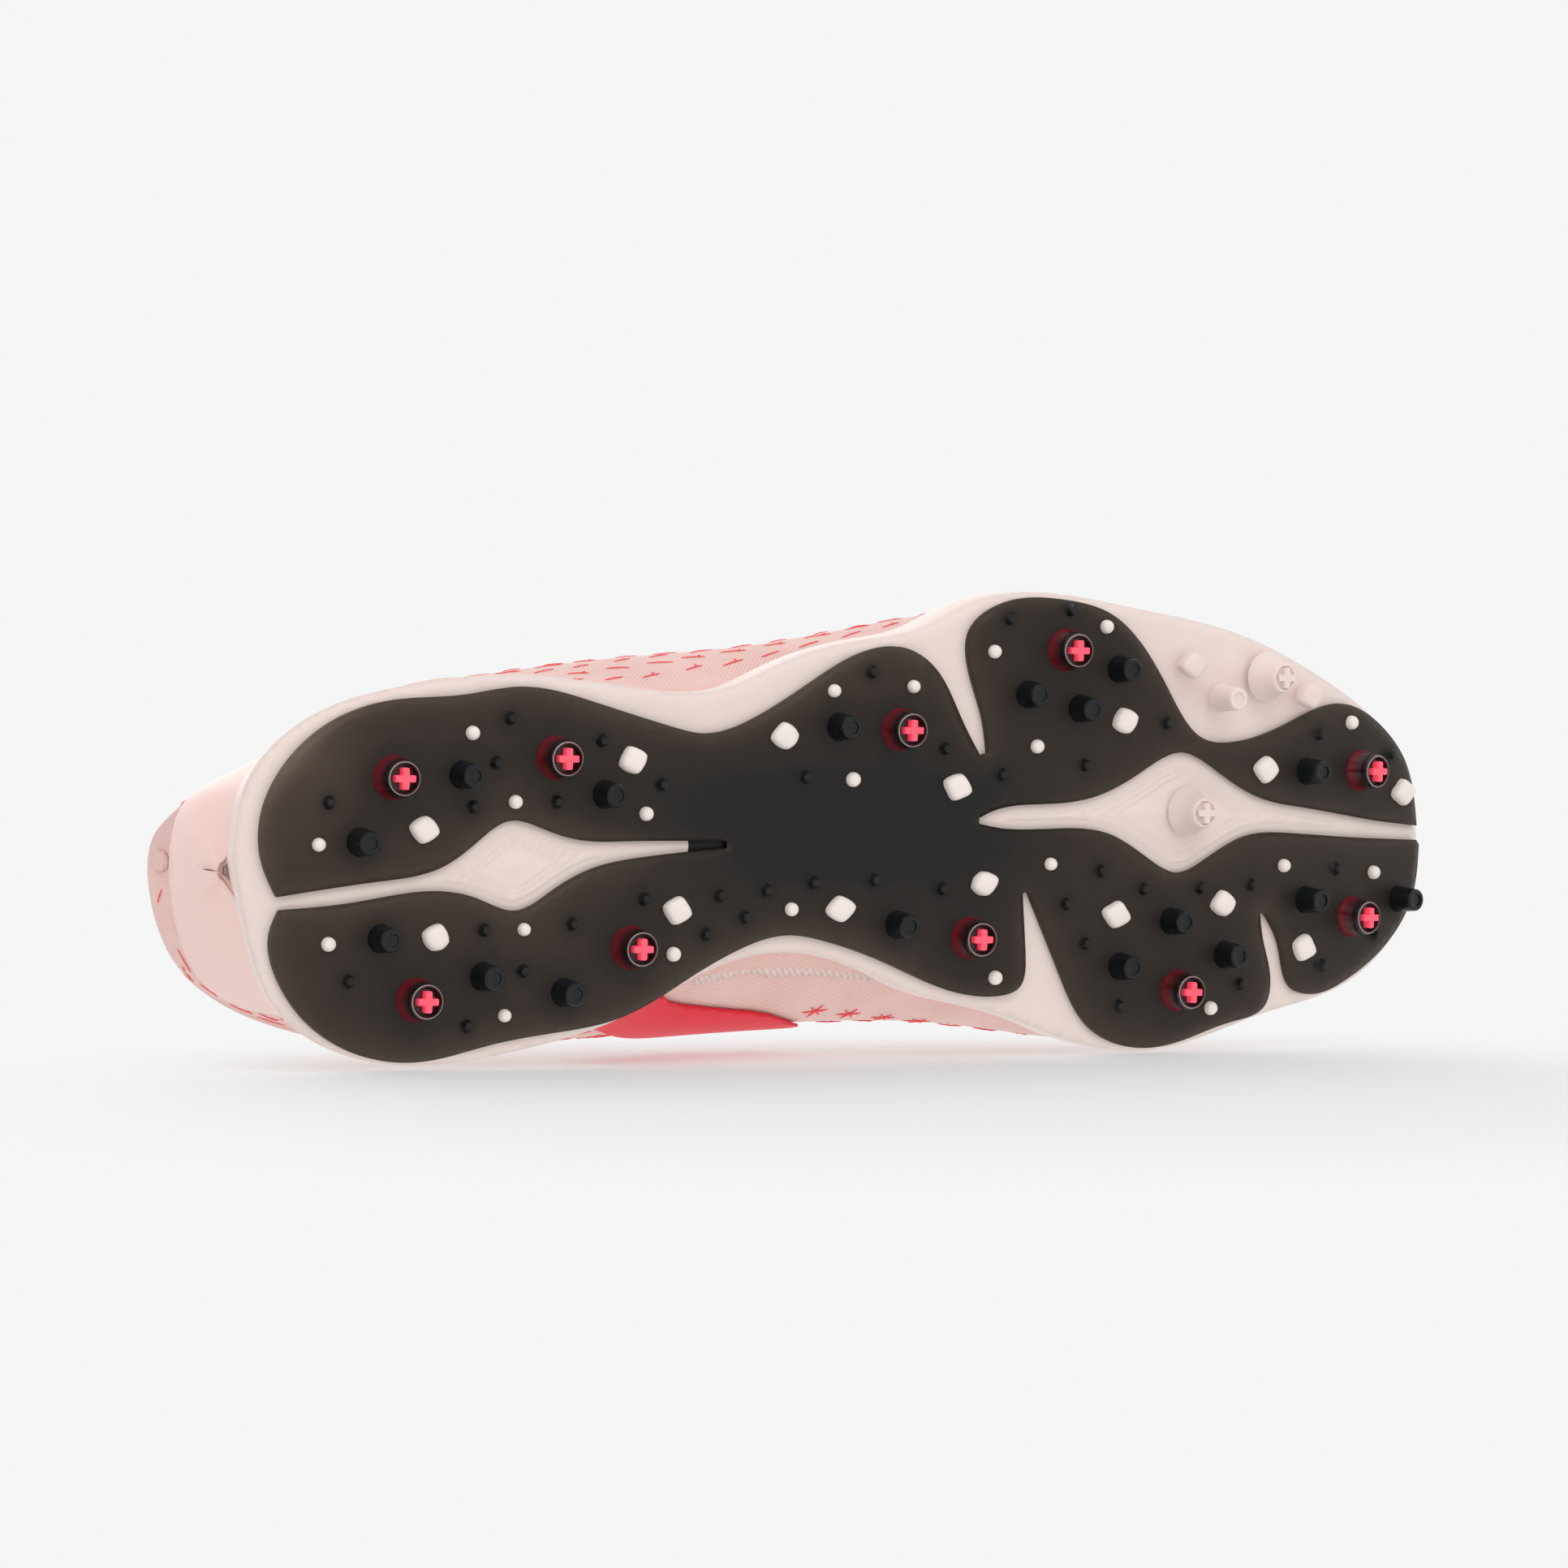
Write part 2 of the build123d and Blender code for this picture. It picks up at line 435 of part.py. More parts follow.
def upper():
    outer = upper_solid(-0.1)
    skins = {depth: upper_solid(depth) for depth in
             (OVERLAY_OUT, OVERLAY_GAP, 0.0, KNIT_IN, BACKING_OUT, BACKING_IN, LINING_OUT, LINING_IN)}
    cavity = upper_solid(LINING_IN + SEAM)
    sole(outer, cavity)
    above_floor = slab(BASE_T + SEAM, 250)
    body = (above_floor & below_collar(0)) - THROAT - eyelet_holes(EYELET_R)

    knit = (skins[0.0] - skins[KNIT_IN]) & body
    lining = (skins[LINING_OUT] - skins[LINING_IN]) & body
    middle = (skins[BACKING_OUT] - skins[BACKING_IN]) & body

    save("vamp_knit", knit & FRONT)
    save("knit_flex_zone", knit & flex_wedge(0.3))
    rear_knit = knit & REAR
    lateral = prism([(-160, 7), (-100, 6), (20, -2)], [(20, -2), (20, -80)], [(20, -80), (-160, -80)],
                    [(-160, -80), (-160, 7)])
    save("quarter_lateral", rear_knit & lateral)
    save("quarter_medial", rear_knit - lateral)
    both_halves("lining", lining)
    save("lining_flex_zone", lining & flex_wedge(0.3))

    toe = Pos(95 + REACH / 2, 0, 60) * Box(REACH, 150, 140)
    save("toe_puff", middle & toe)
    save("vamp_backing", (middle & FRONT) - toe)
    counter_zone = side_prism([(-160, 0), (-84, 0)], [(-84, 0), (-88, 24), (-104, 38), (-125, 42), (-160, 44)],
                              [(-160, 44), (-160, 0)])
    save("heel_counter", middle & counter_zone)
    collar_zone = below_collar(-2) - below_collar(15)
    collar_zone &= Pos(-160 + 105 / 2, 0, 60) * Box(105, 150, 160)
    save("collar_padding", (middle & collar_zone) - counter_zone)
    save("quarter_backing", ((middle & REAR) - counter_zone) - collar_zone)

    skin = skins[OVERLAY_OUT] - skins[OVERLAY_GAP]
    above_wall = slab(WALL_T + 0.5, 250)
    binding_zone = (below_collar(-1.5) - below_collar(4)) & (Pos(-160 + 103 / 2, 0, 60) * Box(103, 150, 160))
    save("collar_binding", (skin & binding_zone) - THROAT)
    stay = prism([(-57, crest_y(-57) - 24), (-20, -25), (9, -20.5)], [(9, -20.5), (13, -2)], [(13, -2), (9, 17.5)],
                 [(9, 17.5), (-20, 24), (-57, crest_y(-57) + 24)],
                 [(-57, crest_y(-57) + 24), (-57, crest_y(-57) - 24)], low=45)
    stays = (skin & stay & REAR) - THROAT - eyelet_holes(EYELET_R)
    stays = stays & below_collar(4.3)
    save("eyestay_lateral", stays & lateral)
    save("eyestay_medial", stays - lateral)
    panel = side_prism([(-50, 13), (-37.5, 18.6), (-27, 20.7), (-16.5, 22.8), (-6, 29)],
                       [(-6, 29), (-12, 33), (-25, 35.5), (-38, 34.5), (-46.5, 31), (-55, 25)],
                       [(-55, 25), (-50, 13)])
    save("side_panel_medial", (skin & panel & above_wall) - lateral)
    heel_zone = side_prism([(-160, 15), (-119, 15)], [(-119, 15), (-127, 47)], [(-127, 47), (-160, 49)],
                           [(-160, 49), (-160, 15)])
    save("heel_panel", skin & heel_zone & above_wall)
    tape = Pos(-150, 7, 60) * Box(40, 7, 150)
    tape_zone = side_prism([(-160, 49.6), (-120, 47.6)], [(-120, 47.6), (-120, 53)],
                           [(-120, 53), (-160, 60.5)], [(-160, 60.5), (-160, 49.6)])
    save("heel_seam_tape", (skin & tape & tape_zone) & below_collar(4.3))


def tongue():
    waist = SECTIONS[4:12]
    sheet = upper_solid(TONGUE_OUT, waist) - upper_solid(TONGUE_IN, waist)
    outline = prism([(-74, crest_y(-74) - 17), (-52, -23), (-20, -25), (8, -20)], [(8, -20), (8, 17)],
                    [(8, 17), (-20, 23), (-52, 25), (-74, crest_y(-74) + 17)],
                    [(-74, crest_y(-74) + 17), (-79, crest_y(-79))], [(-79, crest_y(-79)), (-74, crest_y(-74) - 17)],
                    low=35)
    sheet &= outline
    fold = FOLD_AT[0]
    behind = Pos(fold - 0.25 - 50, 0, 60) * Box(100, 150, 160)
    ahead = Pos(fold + 0.25 + 50, 0, 60) * Box(100, 150, 160)
    save("tongue_top", sheet & behind)
    save("tongue_base", sheet & ahead)


def lace():
    """One lace in a ladder: over the throat, down an eyelet, along under the eyestay to the next row."""
    surface = upper_solid(OVERLAY_OUT)
    points = []
    side = -1
    for x in LACE_ROWS:
        y = crest_y(x)
        near = y + side * EYELET_Y
        far = y - side * EYELET_Y
        high = top_of(surface, x, near, far) + LACE_R + LACE_TURN + LACE_CLEAR
        low_near = top_of(surface, x, near) - UNDER_DEPTH
        low_far = top_of(surface, x, far) - UNDER_DEPTH
        points += [(x, near, low_near), (x, near, high), (x, far, high), (x, far, low_far)]
        side = -side
    path = FilletPolyline(*points, radius=[LACE_TURN] * (len(points) - 2))
    section = Plane(origin=points[0], z_dir=(0, 0, 1)) * Circle(LACE_R)
    save("lace", sweep(section, path=path))
    tips = []
    for p in (points[0], points[-1]):
        tips.append(Pos(p[0], p[1], p[2] - AGLET_L / 2) * Cylinder(LACE_R + 0.1, AGLET_L))
    save("aglets", Compound(children=tips))


def top_of(solid, x, *ys):
    """The higher of the surface's heights above some points."""
    best = 0.0
    for y in ys:
        cut = solid & Edge.make_line((x, y, 30), (x, y, 140))
        best = max(best, cut.bounding_box().max.Z)
    return best


os.makedirs("parts", exist_ok=True)
studs()
upper()
tongue()
lace()
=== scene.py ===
import math
import random
import bpy
import bmesh
import numpy as np
from mathutils import Matrix, Vector
from mathutils.geometry import delaunay_2d_cdt


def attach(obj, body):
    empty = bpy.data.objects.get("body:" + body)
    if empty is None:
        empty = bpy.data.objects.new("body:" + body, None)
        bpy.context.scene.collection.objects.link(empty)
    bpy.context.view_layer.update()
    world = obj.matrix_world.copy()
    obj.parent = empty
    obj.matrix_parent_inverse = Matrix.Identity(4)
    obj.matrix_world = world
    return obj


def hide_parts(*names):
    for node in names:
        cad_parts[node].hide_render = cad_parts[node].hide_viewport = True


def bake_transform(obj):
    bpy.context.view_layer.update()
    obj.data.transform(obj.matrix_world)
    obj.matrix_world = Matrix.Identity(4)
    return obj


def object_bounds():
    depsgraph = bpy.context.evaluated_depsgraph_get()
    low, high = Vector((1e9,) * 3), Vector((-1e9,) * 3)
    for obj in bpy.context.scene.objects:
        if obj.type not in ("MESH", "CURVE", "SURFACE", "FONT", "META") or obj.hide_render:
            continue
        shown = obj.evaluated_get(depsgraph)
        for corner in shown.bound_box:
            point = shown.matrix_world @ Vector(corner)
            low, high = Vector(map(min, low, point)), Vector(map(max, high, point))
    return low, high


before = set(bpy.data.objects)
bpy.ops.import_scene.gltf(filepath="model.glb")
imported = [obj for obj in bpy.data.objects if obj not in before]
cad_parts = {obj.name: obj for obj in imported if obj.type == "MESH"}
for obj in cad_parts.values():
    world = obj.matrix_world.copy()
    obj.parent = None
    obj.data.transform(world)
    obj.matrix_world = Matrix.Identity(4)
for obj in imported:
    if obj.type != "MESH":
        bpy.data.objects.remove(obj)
cad_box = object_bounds()
random.seed(7)

# A right-foot soccer cleat. Points are read on the outsole in millimetres, as in the CAD model,
# and SHIFT takes them to the row frame: +X toe, +Y medial, +Z up, studs on z = 0.
MM = 0.001
SHIFT = np.array([0.5, 2.8, 0.0])

# ---- driving dimensions, in millimetres ----
STUD_H = 6.5
PLATE_T = 1.8
BASE_T = 4.5
WALL_T = 13.5
INSOLE_T = 9.5
TOE_START, TOE_R = 50.0, 333.0
HEEL_START, HEEL_R = -108.0, 500.0
FLEX_ANGLE = math.radians(21.0)
FLEX_AT = (30.5, -2.3)
THROAT_END = 9.0
EYELET_Y = 17.5
LACE_ROWS = [4.0, -9.0, -22.0, -35.0, -48.0]
KNIT_T = 1.2
LINING_OUT, LINING_IN = 1.3, 3.6
TONGUE_OUT, TONGUE_IN = 8.6, 10.8


# ================= small tools =================
def srgb(r, g, b):
    """A display colour from 0 to 255 as linear light."""
    out = []
    for c in (r / 255, g / 255, b / 255):
        out.append(c / 12.92 if c <= 0.04045 else ((c + 0.055) / 1.055) ** 2.4)
    return (*out, 1.0)


def cubic(keys, values, at):
    """Natural cubic spline through values at increasing keys, read at other keys."""
    keys = np.asarray(keys, float)
    values = np.asarray(values, float)
    n = len(keys)
    h = np.diff(keys)
    matrix = np.eye(n)
    right = np.zeros(values.shape)
    for i in range(1, n - 1):
        matrix[i, i - 1:i + 2] = h[i - 1], 2 * (h[i - 1] + h[i]), h[i]
        right[i] = 3 * ((values[i + 1] - values[i]) / h[i] - (values[i] - values[i - 1]) / h[i - 1])
    c = np.linalg.solve(matrix, right)
    at = np.clip(np.asarray(at, float), keys[0], keys[-1])
    i = np.clip(np.searchsorted(keys, at) - 1, 0, n - 2)
    d = at - keys[i]
    step = h[i]
    if values.ndim > 1:
        d = d[:, None]
        step = step[:, None]
    b = (values[i + 1] - values[i]) / step - step * (2 * c[i] + c[i + 1]) / 3
    return values[i] + b * d + c[i] * d**2 + (c[i + 1] - c[i]) / (3 * step) * d**3


def run_through(points, step=1.0):
    """A smooth run through points, sampled evenly."""
    points = np.asarray(points, float)
    if len(points) == 2:
        return points
    keys = np.concatenate([[0], np.cumsum(np.linalg.norm(np.diff(points, axis=0), axis=1))])
    count = max(3, int(keys[-1] / step) + 1)
    return cubic(keys, points, np.linspace(0, keys[-1], count))


def closed_outline(*runs, step=1.0):
    """Smooth runs joined end to end into one closed outline, with no repeated points."""
    points = []
    for run in runs:
        for p in run_through(run, step):
            if not points or np.linalg.norm(p - points[-1]) > 0.25 * step:
                points.append(p)
    while np.linalg.norm(points[0] - points[-1]) < 0.25 * step:
        points.pop()
    return np.array(points)


def new_piece(name, points_mm, faces, body=None, smooth=True):
    """A mesh object from sole-frame millimetres."""
    mesh = bpy.data.meshes.new(name)
    places = (np.asarray(points_mm, float) + SHIFT) * MM
    mesh.from_pydata([tuple(p) for p in places], [], [tuple(int(k) for k in f) for f in faces])
    mesh.update()
    piece = bpy.data.objects.new(name, mesh)
    bpy.context.scene.collection.objects.link(piece)
    if smooth:
        mesh.shade_smooth()
    if body:
        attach(piece, body)
    return piece


def tidy_mesh(piece, merge=0.01):
    """Weld doubles and make the normals agree."""
    work = bmesh.new()
    work.from_mesh(piece.data)
    bmesh.ops.remove_doubles(work, verts=work.verts, dist=merge * MM)
    bmesh.ops.dissolve_degenerate(work, edges=work.edges, dist=merge * 0.2 * MM)
    bmesh.ops.recalc_face_normals(work, faces=work.faces)
    work.to_mesh(piece.data)
    work.free()
    piece.data.update()


def apply_modifiers(piece):
    bpy.context.view_layer.update()
    graph = bpy.context.evaluated_depsgraph_get()
    made = bpy.data.meshes.new_from_object(piece.evaluated_get(graph))
    piece.modifiers.clear()
    piece.data = made


def ring_faces(rings, count, start=0, caps=False):
    """Quads between rings of points, with both ends closed where caps is set."""
    faces = []
    for i in range(rings - 1):
        low, high = start + i * count, start + (i + 1) * count
        for j in range(count):
            k = (j + 1) % count
            faces.append((low + j, low + k, high + k, high + j))
    if caps:
        last = start + (rings - 1) * count
        faces.append(tuple(last + j for j in range(count)))
        faces.append(tuple(start + j for j in reversed(range(count))))
    return faces


def add_tone(piece, values):
    """A value from 0 to 1 on each point, that a material's ramp reads."""
    attribute = piece.data.attributes.new("tone", "FLOAT", "POINT")
    attribute.data.foreach_set("value", np.asarray(values, np.float32))


def paint(piece, *materials):
    piece.data.materials.clear()
    for m in materials:
        piece.data.materials.append(m)


def bend_with_sole(piece):
    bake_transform(piece)


def bend_with_upper(piece):
    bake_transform(piece)


# ================= materials =================
class Graph:
    """Adds and joins a material's nodes."""

    def __init__(self, m):
        self.nodes = m.node_tree.nodes
        self.links = m.node_tree.links

    def add(self, kind, settings=None, **inputs):
        node = self.nodes.new("ShaderNode" + kind)
        for name, value in (settings or {}).items():
            setattr(node, name, value)
        for name, value in inputs.items():
            node.inputs[name.replace("_", " ")].default_value = value
        return node

    def join(self, source, output, target, socket):
        self.links.new(source.outputs[output], target.inputs[socket])

    def sum(self, operation, *terms):
        """A math node's result, from numbers and other nodes' outputs."""
        node = self.add("Math", {"operation": operation})
        for socket, term in zip(node.inputs, terms):
            if isinstance(term, float):
                socket.default_value = term
            else:
                self.links.new(term, socket)
        return node.outputs["Value"]

    def ramp(self, value, stops):
        """Colours at positions, read by a value."""
        ramp = self.add("ValToRGB")
        while len(ramp.color_ramp.elements) < len(stops):
            ramp.color_ramp.elements.new(0.5)
        for element, (position, colour) in zip(ramp.color_ramp.elements, stops):
            element.position = position
            element.color = colour
        self.links.new(value, ramp.inputs["Fac"])
        self.join(ramp, "Color", self.nodes["Principled BSDF"], "Base Color")


def material(name, colour, rough, scale=0.0, spread=0.0, bump=0.0, bump_scale=0.0, **sockets):
    """A Principled material whose colour drifts with slow noise, with a fine bump."""
    m = bpy.data.materials.new(name)
    m.use_nodes = True
    graph = Graph(m)
    shader = graph.nodes["Principled BSDF"]
    shader.inputs["Base Color"].default_value = colour
    shader.inputs["Roughness"].default_value = rough
    for socket, value in sockets.items():
        shader.inputs[socket.replace("_", " ")].default_value = value
    place = graph.add("TexCoord")
    if spread:
        noise = graph.add("TexNoise", Scale=scale, Detail=4.0)
        graph.join(place, "Object", noise, "Vector")
        dark = [c * (1 - spread) for c in colour[:3]]
        light = [min(1.0, c * (1 + spread)) for c in colour[:3]]
        graph.ramp(noise.outputs["Fac"], [(0.3, (*dark, 1)), (0.7, (*light, 1))])
    if bump:
        grain = graph.add("TexNoise", Scale=bump_scale, Detail=3.0)
        lift = graph.add("Bump", Strength=bump, Distance=0.0003)
        graph.join(place, "Object", grain, "Vector")
        graph.join(grain, "Fac", lift, "Height")
        graph.join(lift, "Normal", shader, "Normal")
    return m


def knit_material(name, colour, thread, weave):
    """Twill: fine diagonal ribs made from two crossed waves on the knit's own UV map, in metres."""
    m = material(name, colour, 0.85, Sheen_Weight=0.25, Sheen_Roughness=0.5)
    graph = Graph(m)
    shader = graph.nodes["Principled BSDF"]
    uv = graph.add("UVMap", {"uv_map": "Knit"})
    turn = graph.add("Mapping", Rotation=(0, 0, math.radians(35)))
    ribs = graph.add("TexWave", {"wave_profile": "SIN"}, Scale=weave, Distortion=1.2, Detail=2.0,
                     Detail_Scale=3.0)
    across = graph.add("TexWave", {"bands_direction": "Y"}, Scale=weave * 0.8, Distortion=0.6)
    cloud = graph.add("TexNoise", Scale=60.0)
    graph.join(uv, "UV", turn, "Vector")
    graph.join(turn, "Vector", ribs, "Vector")
    graph.join(turn, "Vector", across, "Vector")
    graph.join(uv, "UV", cloud, "Vector")
    height = graph.sum("MULTIPLY_ADD", across.outputs["Fac"], 0.45, ribs.outputs["Fac"])
    mix = graph.add("Mix", {"data_type": "RGBA"}, A=colour, B=thread)
    graph.links.new(graph.sum("MULTIPLY", height, cloud.outputs["Fac"]), mix.inputs["Factor"])
    graph.join(mix, "Result", shader, "Base Color")
    lift = graph.add("Bump", Strength=0.6, Distance=0.0002)
    graph.links.new(height, lift.inputs["Height"])
    graph.join(lift, "Normal", shader, "Normal")
    return m


def plate_material():
    """Smoky translucent plastic: darker and bluer over the shank, lighter brown at the rim, with a painted
    highlight on the lateral heel and painted shade round the studs.
    """
    m = material("smoked_plate", srgb(62, 53, 48), 0.45, Specular_IOR_Level=0.22, Coat_Weight=0.06,
                 Coat_Roughness=0.3, bump=0.12, bump_scale=900.0)
    graph = Graph(m)
    place = graph.add("TexCoord")
    stretch = graph.add("Mapping", Scale=(0.25, 3.0, 1.0))
    streaks = graph.add("TexNoise", Scale=40.0, Detail=5.0)
    tone = graph.add("Attribute", {"attribute_name": "tone"})
    graph.join(place, "Object", stretch, "Vector")
    graph.join(stretch, "Vector", streaks, "Vector")
    shift = graph.sum("MULTIPLY_ADD", streaks.outputs["Fac"], 0.16, tone.outputs["Fac"])
    graph.ramp(graph.sum("SUBTRACT", shift, 0.08),
               [(0.0, srgb(15, 18, 20)), (0.28, srgb(24, 21, 19)), (0.5, srgb(43, 33, 26)),
                (0.75, srgb(68, 55, 46)), (1.0, srgb(112, 97, 86))])
    return m


def shell_material():
    """A stud's smoked shell: the red core glows through its root."""
    m = material("stud_shell", srgb(60, 30, 32), 0.3, Specular_IOR_Level=0.35, Coat_Weight=0.2,
                 Coat_Roughness=0.12)
    graph = Graph(m)
    tone = graph.add("Attribute", {"attribute_name": "tone"})
    graph.ramp(tone.outputs["Fac"],
               [(0.0, srgb(112, 20, 30)), (0.3, srgb(104, 18, 28)), (0.55, srgb(66, 16, 22)),
                (0.8, srgb(32, 15, 18)), (1.0, srgb(22, 16, 18))])
    return m


PALE = srgb(233, 215, 208)
SMOKED = plate_material()
PALE_MOULDED = material("pale_moulding", PALE, 0.5, 30.0, 0.02, bump=0.15, bump_scale=700.0,
                        Subsurface_Weight=0.1, Subsurface_Scale=0.002)
PALE_STUD = material("pale_stud", srgb(240, 228, 221), 0.45, 80.0, 0.02, bump=0.1, bump_scale=600.0)
DARK_STUD = material("dark_stud", srgb(15, 20, 23), 0.3, 120.0, 0.2, bump=0.1, bump_scale=800.0,
                     Specular_IOR_Level=0.3)
DARK_NUB = material("dark_nub", srgb(20, 19, 19), 0.36, 120.0, 0.15, bump=0.1, bump_scale=800.0,
                    Specular_IOR_Level=0.3)
# The coral cores carry an emission: a painted glow that makes them brighter than the lamps light them.
CORAL_GLOW = material("coral_core", srgb(250, 84, 104), 0.42, 150.0, 0.05, bump=0.08, bump_scale=700.0,
                 Emission_Color=srgb(250, 60, 84), Emission_Strength=0.32)
SHELL = shell_material()
CUP = material("stud_cup", srgb(44, 12, 18), 0.4, 150.0, 0.2)
# A light band for the studs' lips: a painted highlight, the glint along each rim.
RIM_HIGHLIGHT = material("stud_rim_highlight", srgb(150, 130, 130), 0.2, 150.0, 0.1)
KNIT = knit_material("pink_knit", srgb(240, 203, 194), srgb(226, 168, 158), 420.0)
TONGUE_KNIT = knit_material("tongue_knit", srgb(240, 204, 195), srgb(224, 168, 158), 300.0)
LINING = knit_material("soft_lining", srgb(244, 222, 214), srgb(226, 190, 180), 520.0)
INSOLE = knit_material("insole_cover", srgb(238, 214, 206), srgb(214, 176, 168), 260.0)
RED_THREAD = material("red_thread", srgb(250, 72, 76), 0.6, 600.0, 0.06, bump=0.3, bump_scale=2500.0)
RED_SATIN = material("red_satin", srgb(226, 20, 46), 0.5, 60.0, 0.04, bump=0.12, bump_scale=900.0,
                     Specular_IOR_Level=0.3)
HEEL_FILM = material("heel_film", srgb(240, 206, 197), 0.5, 40.0, 0.02, bump=0.1, bump_scale=500.0)
BINDING = knit_material("binding", srgb(241, 206, 197), srgb(226, 172, 162), 600.0)
EYESTAY = material("eyestay_film", srgb(236, 190, 181), 0.42, 60.0, 0.04, bump=0.15, bump_scale=700.0)
BOARD = material("board", srgb(222, 200, 190), 0.8)
NAVY = knit_material("navy_lace", srgb(34, 40, 58), srgb(20, 24, 38), 900.0)
AGLET = material("aglet", srgb(30, 34, 48), 0.15, 200.0, 0.1)

# ================= the sole's surfaces =================
def level(x, t):
    """Height of the layer t above the underside of the plate."""
    x = np.asarray(x, float)
    ahead = np.clip(x - TOE_START, 0, None)
    behind = np.clip(HEEL_START - x, 0, None)
    toe = TOE_R - np.sqrt((TOE_R - t) ** 2 - ahead**2) - t
    heel = HEEL_R - np.sqrt((HEEL_R - t) ** 2 - behind**2) - t
    return STUD_H + t + np.where(ahead > 0, toe, 0) + np.where(behind > 0, heel, 0)


def on_sole(point, lift=0.0):
    """The place and turn of a stud: its own +Z points away from the sole."""
    x, y = point
    lean = 0.0
    if x > TOE_START:
        lean = math.asin((x - TOE_START) / TOE_R)
    if x < HEEL_START:
        lean = -math.asin((HEEL_START - x) / HEEL_R)
    down = np.array([math.sin(lean), 0, -math.cos(lean)])
    along = np.array([math.cos(lean), 0, math.sin(lean)])
    across = np.cross(down, along)
    origin = np.array([x, y, float(level(x, 0))]) - lift * down
    return origin, along, across, down


def is_rear(point):
    dx = point[0] - FLEX_AT[0]
    dy = point[1] - FLEX_AT[1]
    return dx * math.cos(FLEX_ANGLE) - dy * math.sin(FLEX_ANGLE) < 0


HEEL_LATERAL = [(-137.3, 11.5), (-140.6, 4), (-140.5, -6), (-136.7, -14), (-126.7, -23.3), (-113, -28)]
HEEL_LATERAL += [(-96.7, -29.2), (-84, -30.9), (-68, -28), (-50, -23), (-41.3, -21.5), (-30, -24.7)]
HEEL_LATERAL += [(-15, -33.3), (-3.3, -39), (5, -39.6), (12.7, -35.3), (19.3, -24.7), (24, -17)]
FORE_LATERAL = [(26, -17.5), (24.7, -24.7), (20.6, -37.5), (20.7, -42.3), (29.3, -49.3), (43.3, -50.2)]
FORE_LATERAL += [(56, -47), (64.3, -40), (71.7, -29.7), (80, -20.8), (88, -19.8), (105, -24.2)]
FORE_LATERAL += [(119.7, -28.1), (132.3, -23), (140.8, -14), (144.3, -1)]
TOE_SLOT_LATERAL = [(144.3, -1), (131.7, -2.3), (110, -5.4), (97, -7.7), (85, -13.5), (74.5, -17.7)]
TOE_SLOT_LATERAL += [(64, -13.4), (52, -8.1), (40, -6.7), (27, -5.1), (24.1, -3.8)]
TOE_SLOT_MEDIAL = [(24.1, -2.6), (29, -1.7), (45, -1.5), (55, -0.7), (66, 4.7), (74.5, 8.2), (83, 5)]
TOE_SLOT_MEDIAL += [(94, 0.3), (105, 0), (125, 1.3), (144.3, 2.2)]
TOE_MEDIAL = [(145.2, 3.2), (143.7, 14), (136.5, 24), (123, 32.5), (111.7, 35.3), (107, 33.8), (103, 24)]
TOE_MEDIAL += [(98.3, 17)]
FORE_MEDIAL = [(97.2, 17.4), (98.2, 23), (100.6, 32), (99.5, 37), (90, 40.7), (77, 44.3), (64, 45.6)]
FORE_MEDIAL += [(52.5, 40.8), (45.5, 30), (40, 18.7), (36.6, 11.8)]
REAR_MEDIAL = [(35.2, 12.2), (36.2, 24), (35, 32.2), (29, 34), (14, 31.3), (0.7, 25.9), (-12, 21.9)]
REAR_MEDIAL += [(-22, 20.5), (-32, 23), (-45, 29.5), (-60, 37), (-75, 39.8), (-90, 42.1), (-104.7, 45.1)]
REAR_MEDIAL += [(-117, 44.1), (-128, 38.8), (-136, 29.5), (-138.5, 18.7), (-136.7, 14.2)]
HEEL_SLOT_MEDIAL = [(-136.7, 14.2), (-120, 12.7), (-103, 10.6), (-94, 11.9), (-84, 14.7), (-76, 10.8)]
HEEL_SLOT_MEDIAL += [(-67, 6.3), (-55, 4), (-36, 2.2)]
HEEL_SLOT_LATERAL = [(-36, 0.8), (-60, 0.7), (-70, 0.4), (-78, -1.8), (-86.3, -3.6), (-94, 1), (-102, 6)]
HEEL_SLOT_LATERAL += [(-115, 8.5), (-137.3, 11.5)]
RIM_LATERAL = [(-146, 4), (-143, -12), (-130, -24.7), (-110, -30.8), (-90, -33.2), (-70, -32.3)]
RIM_LATERAL += [(-50, -30), (-38, -30.3), (-23, -36), (-5, -40.8), (10, -43.6), (22, -49), (43, -51.3)]
RIM_LATERAL += [(62, -48.6), (90, -43.3), (112, -35), (130, -25.5), (141, -15.5), (146, 2)]
RIM_MEDIAL = [(146, 2), (144.8, 14), (137.5, 25), (122, 34.3), (100, 39.3), (77, 45.4), (62, 46.4)]
RIM_MEDIAL += [(46, 43), (30, 37.6), (10, 33), (-5, 27.2), (-22, 24.2), (-38, 27.4), (-60, 37.6)]
RIM_MEDIAL += [(-80, 43), (-104, 46), (-122, 43.4), (-136, 34.5), (-143, 18.5), (-146, 4)]
# Round the heel the wall leans in by this much, from its foot to its top.
LEAN_LATERAL = [(3.5, 0.5), (3.2, 1.7), (2.0, 3.1), (0.8, 1.9), (0.2, 0.8), (0, 0.3)]
LEAN_MEDIAL = [(0, -0.2), (0.2, -0.5), (1.0, -1.2), (2.2, -1.5), (3.2, -0.9), (3.5, 0.5)]

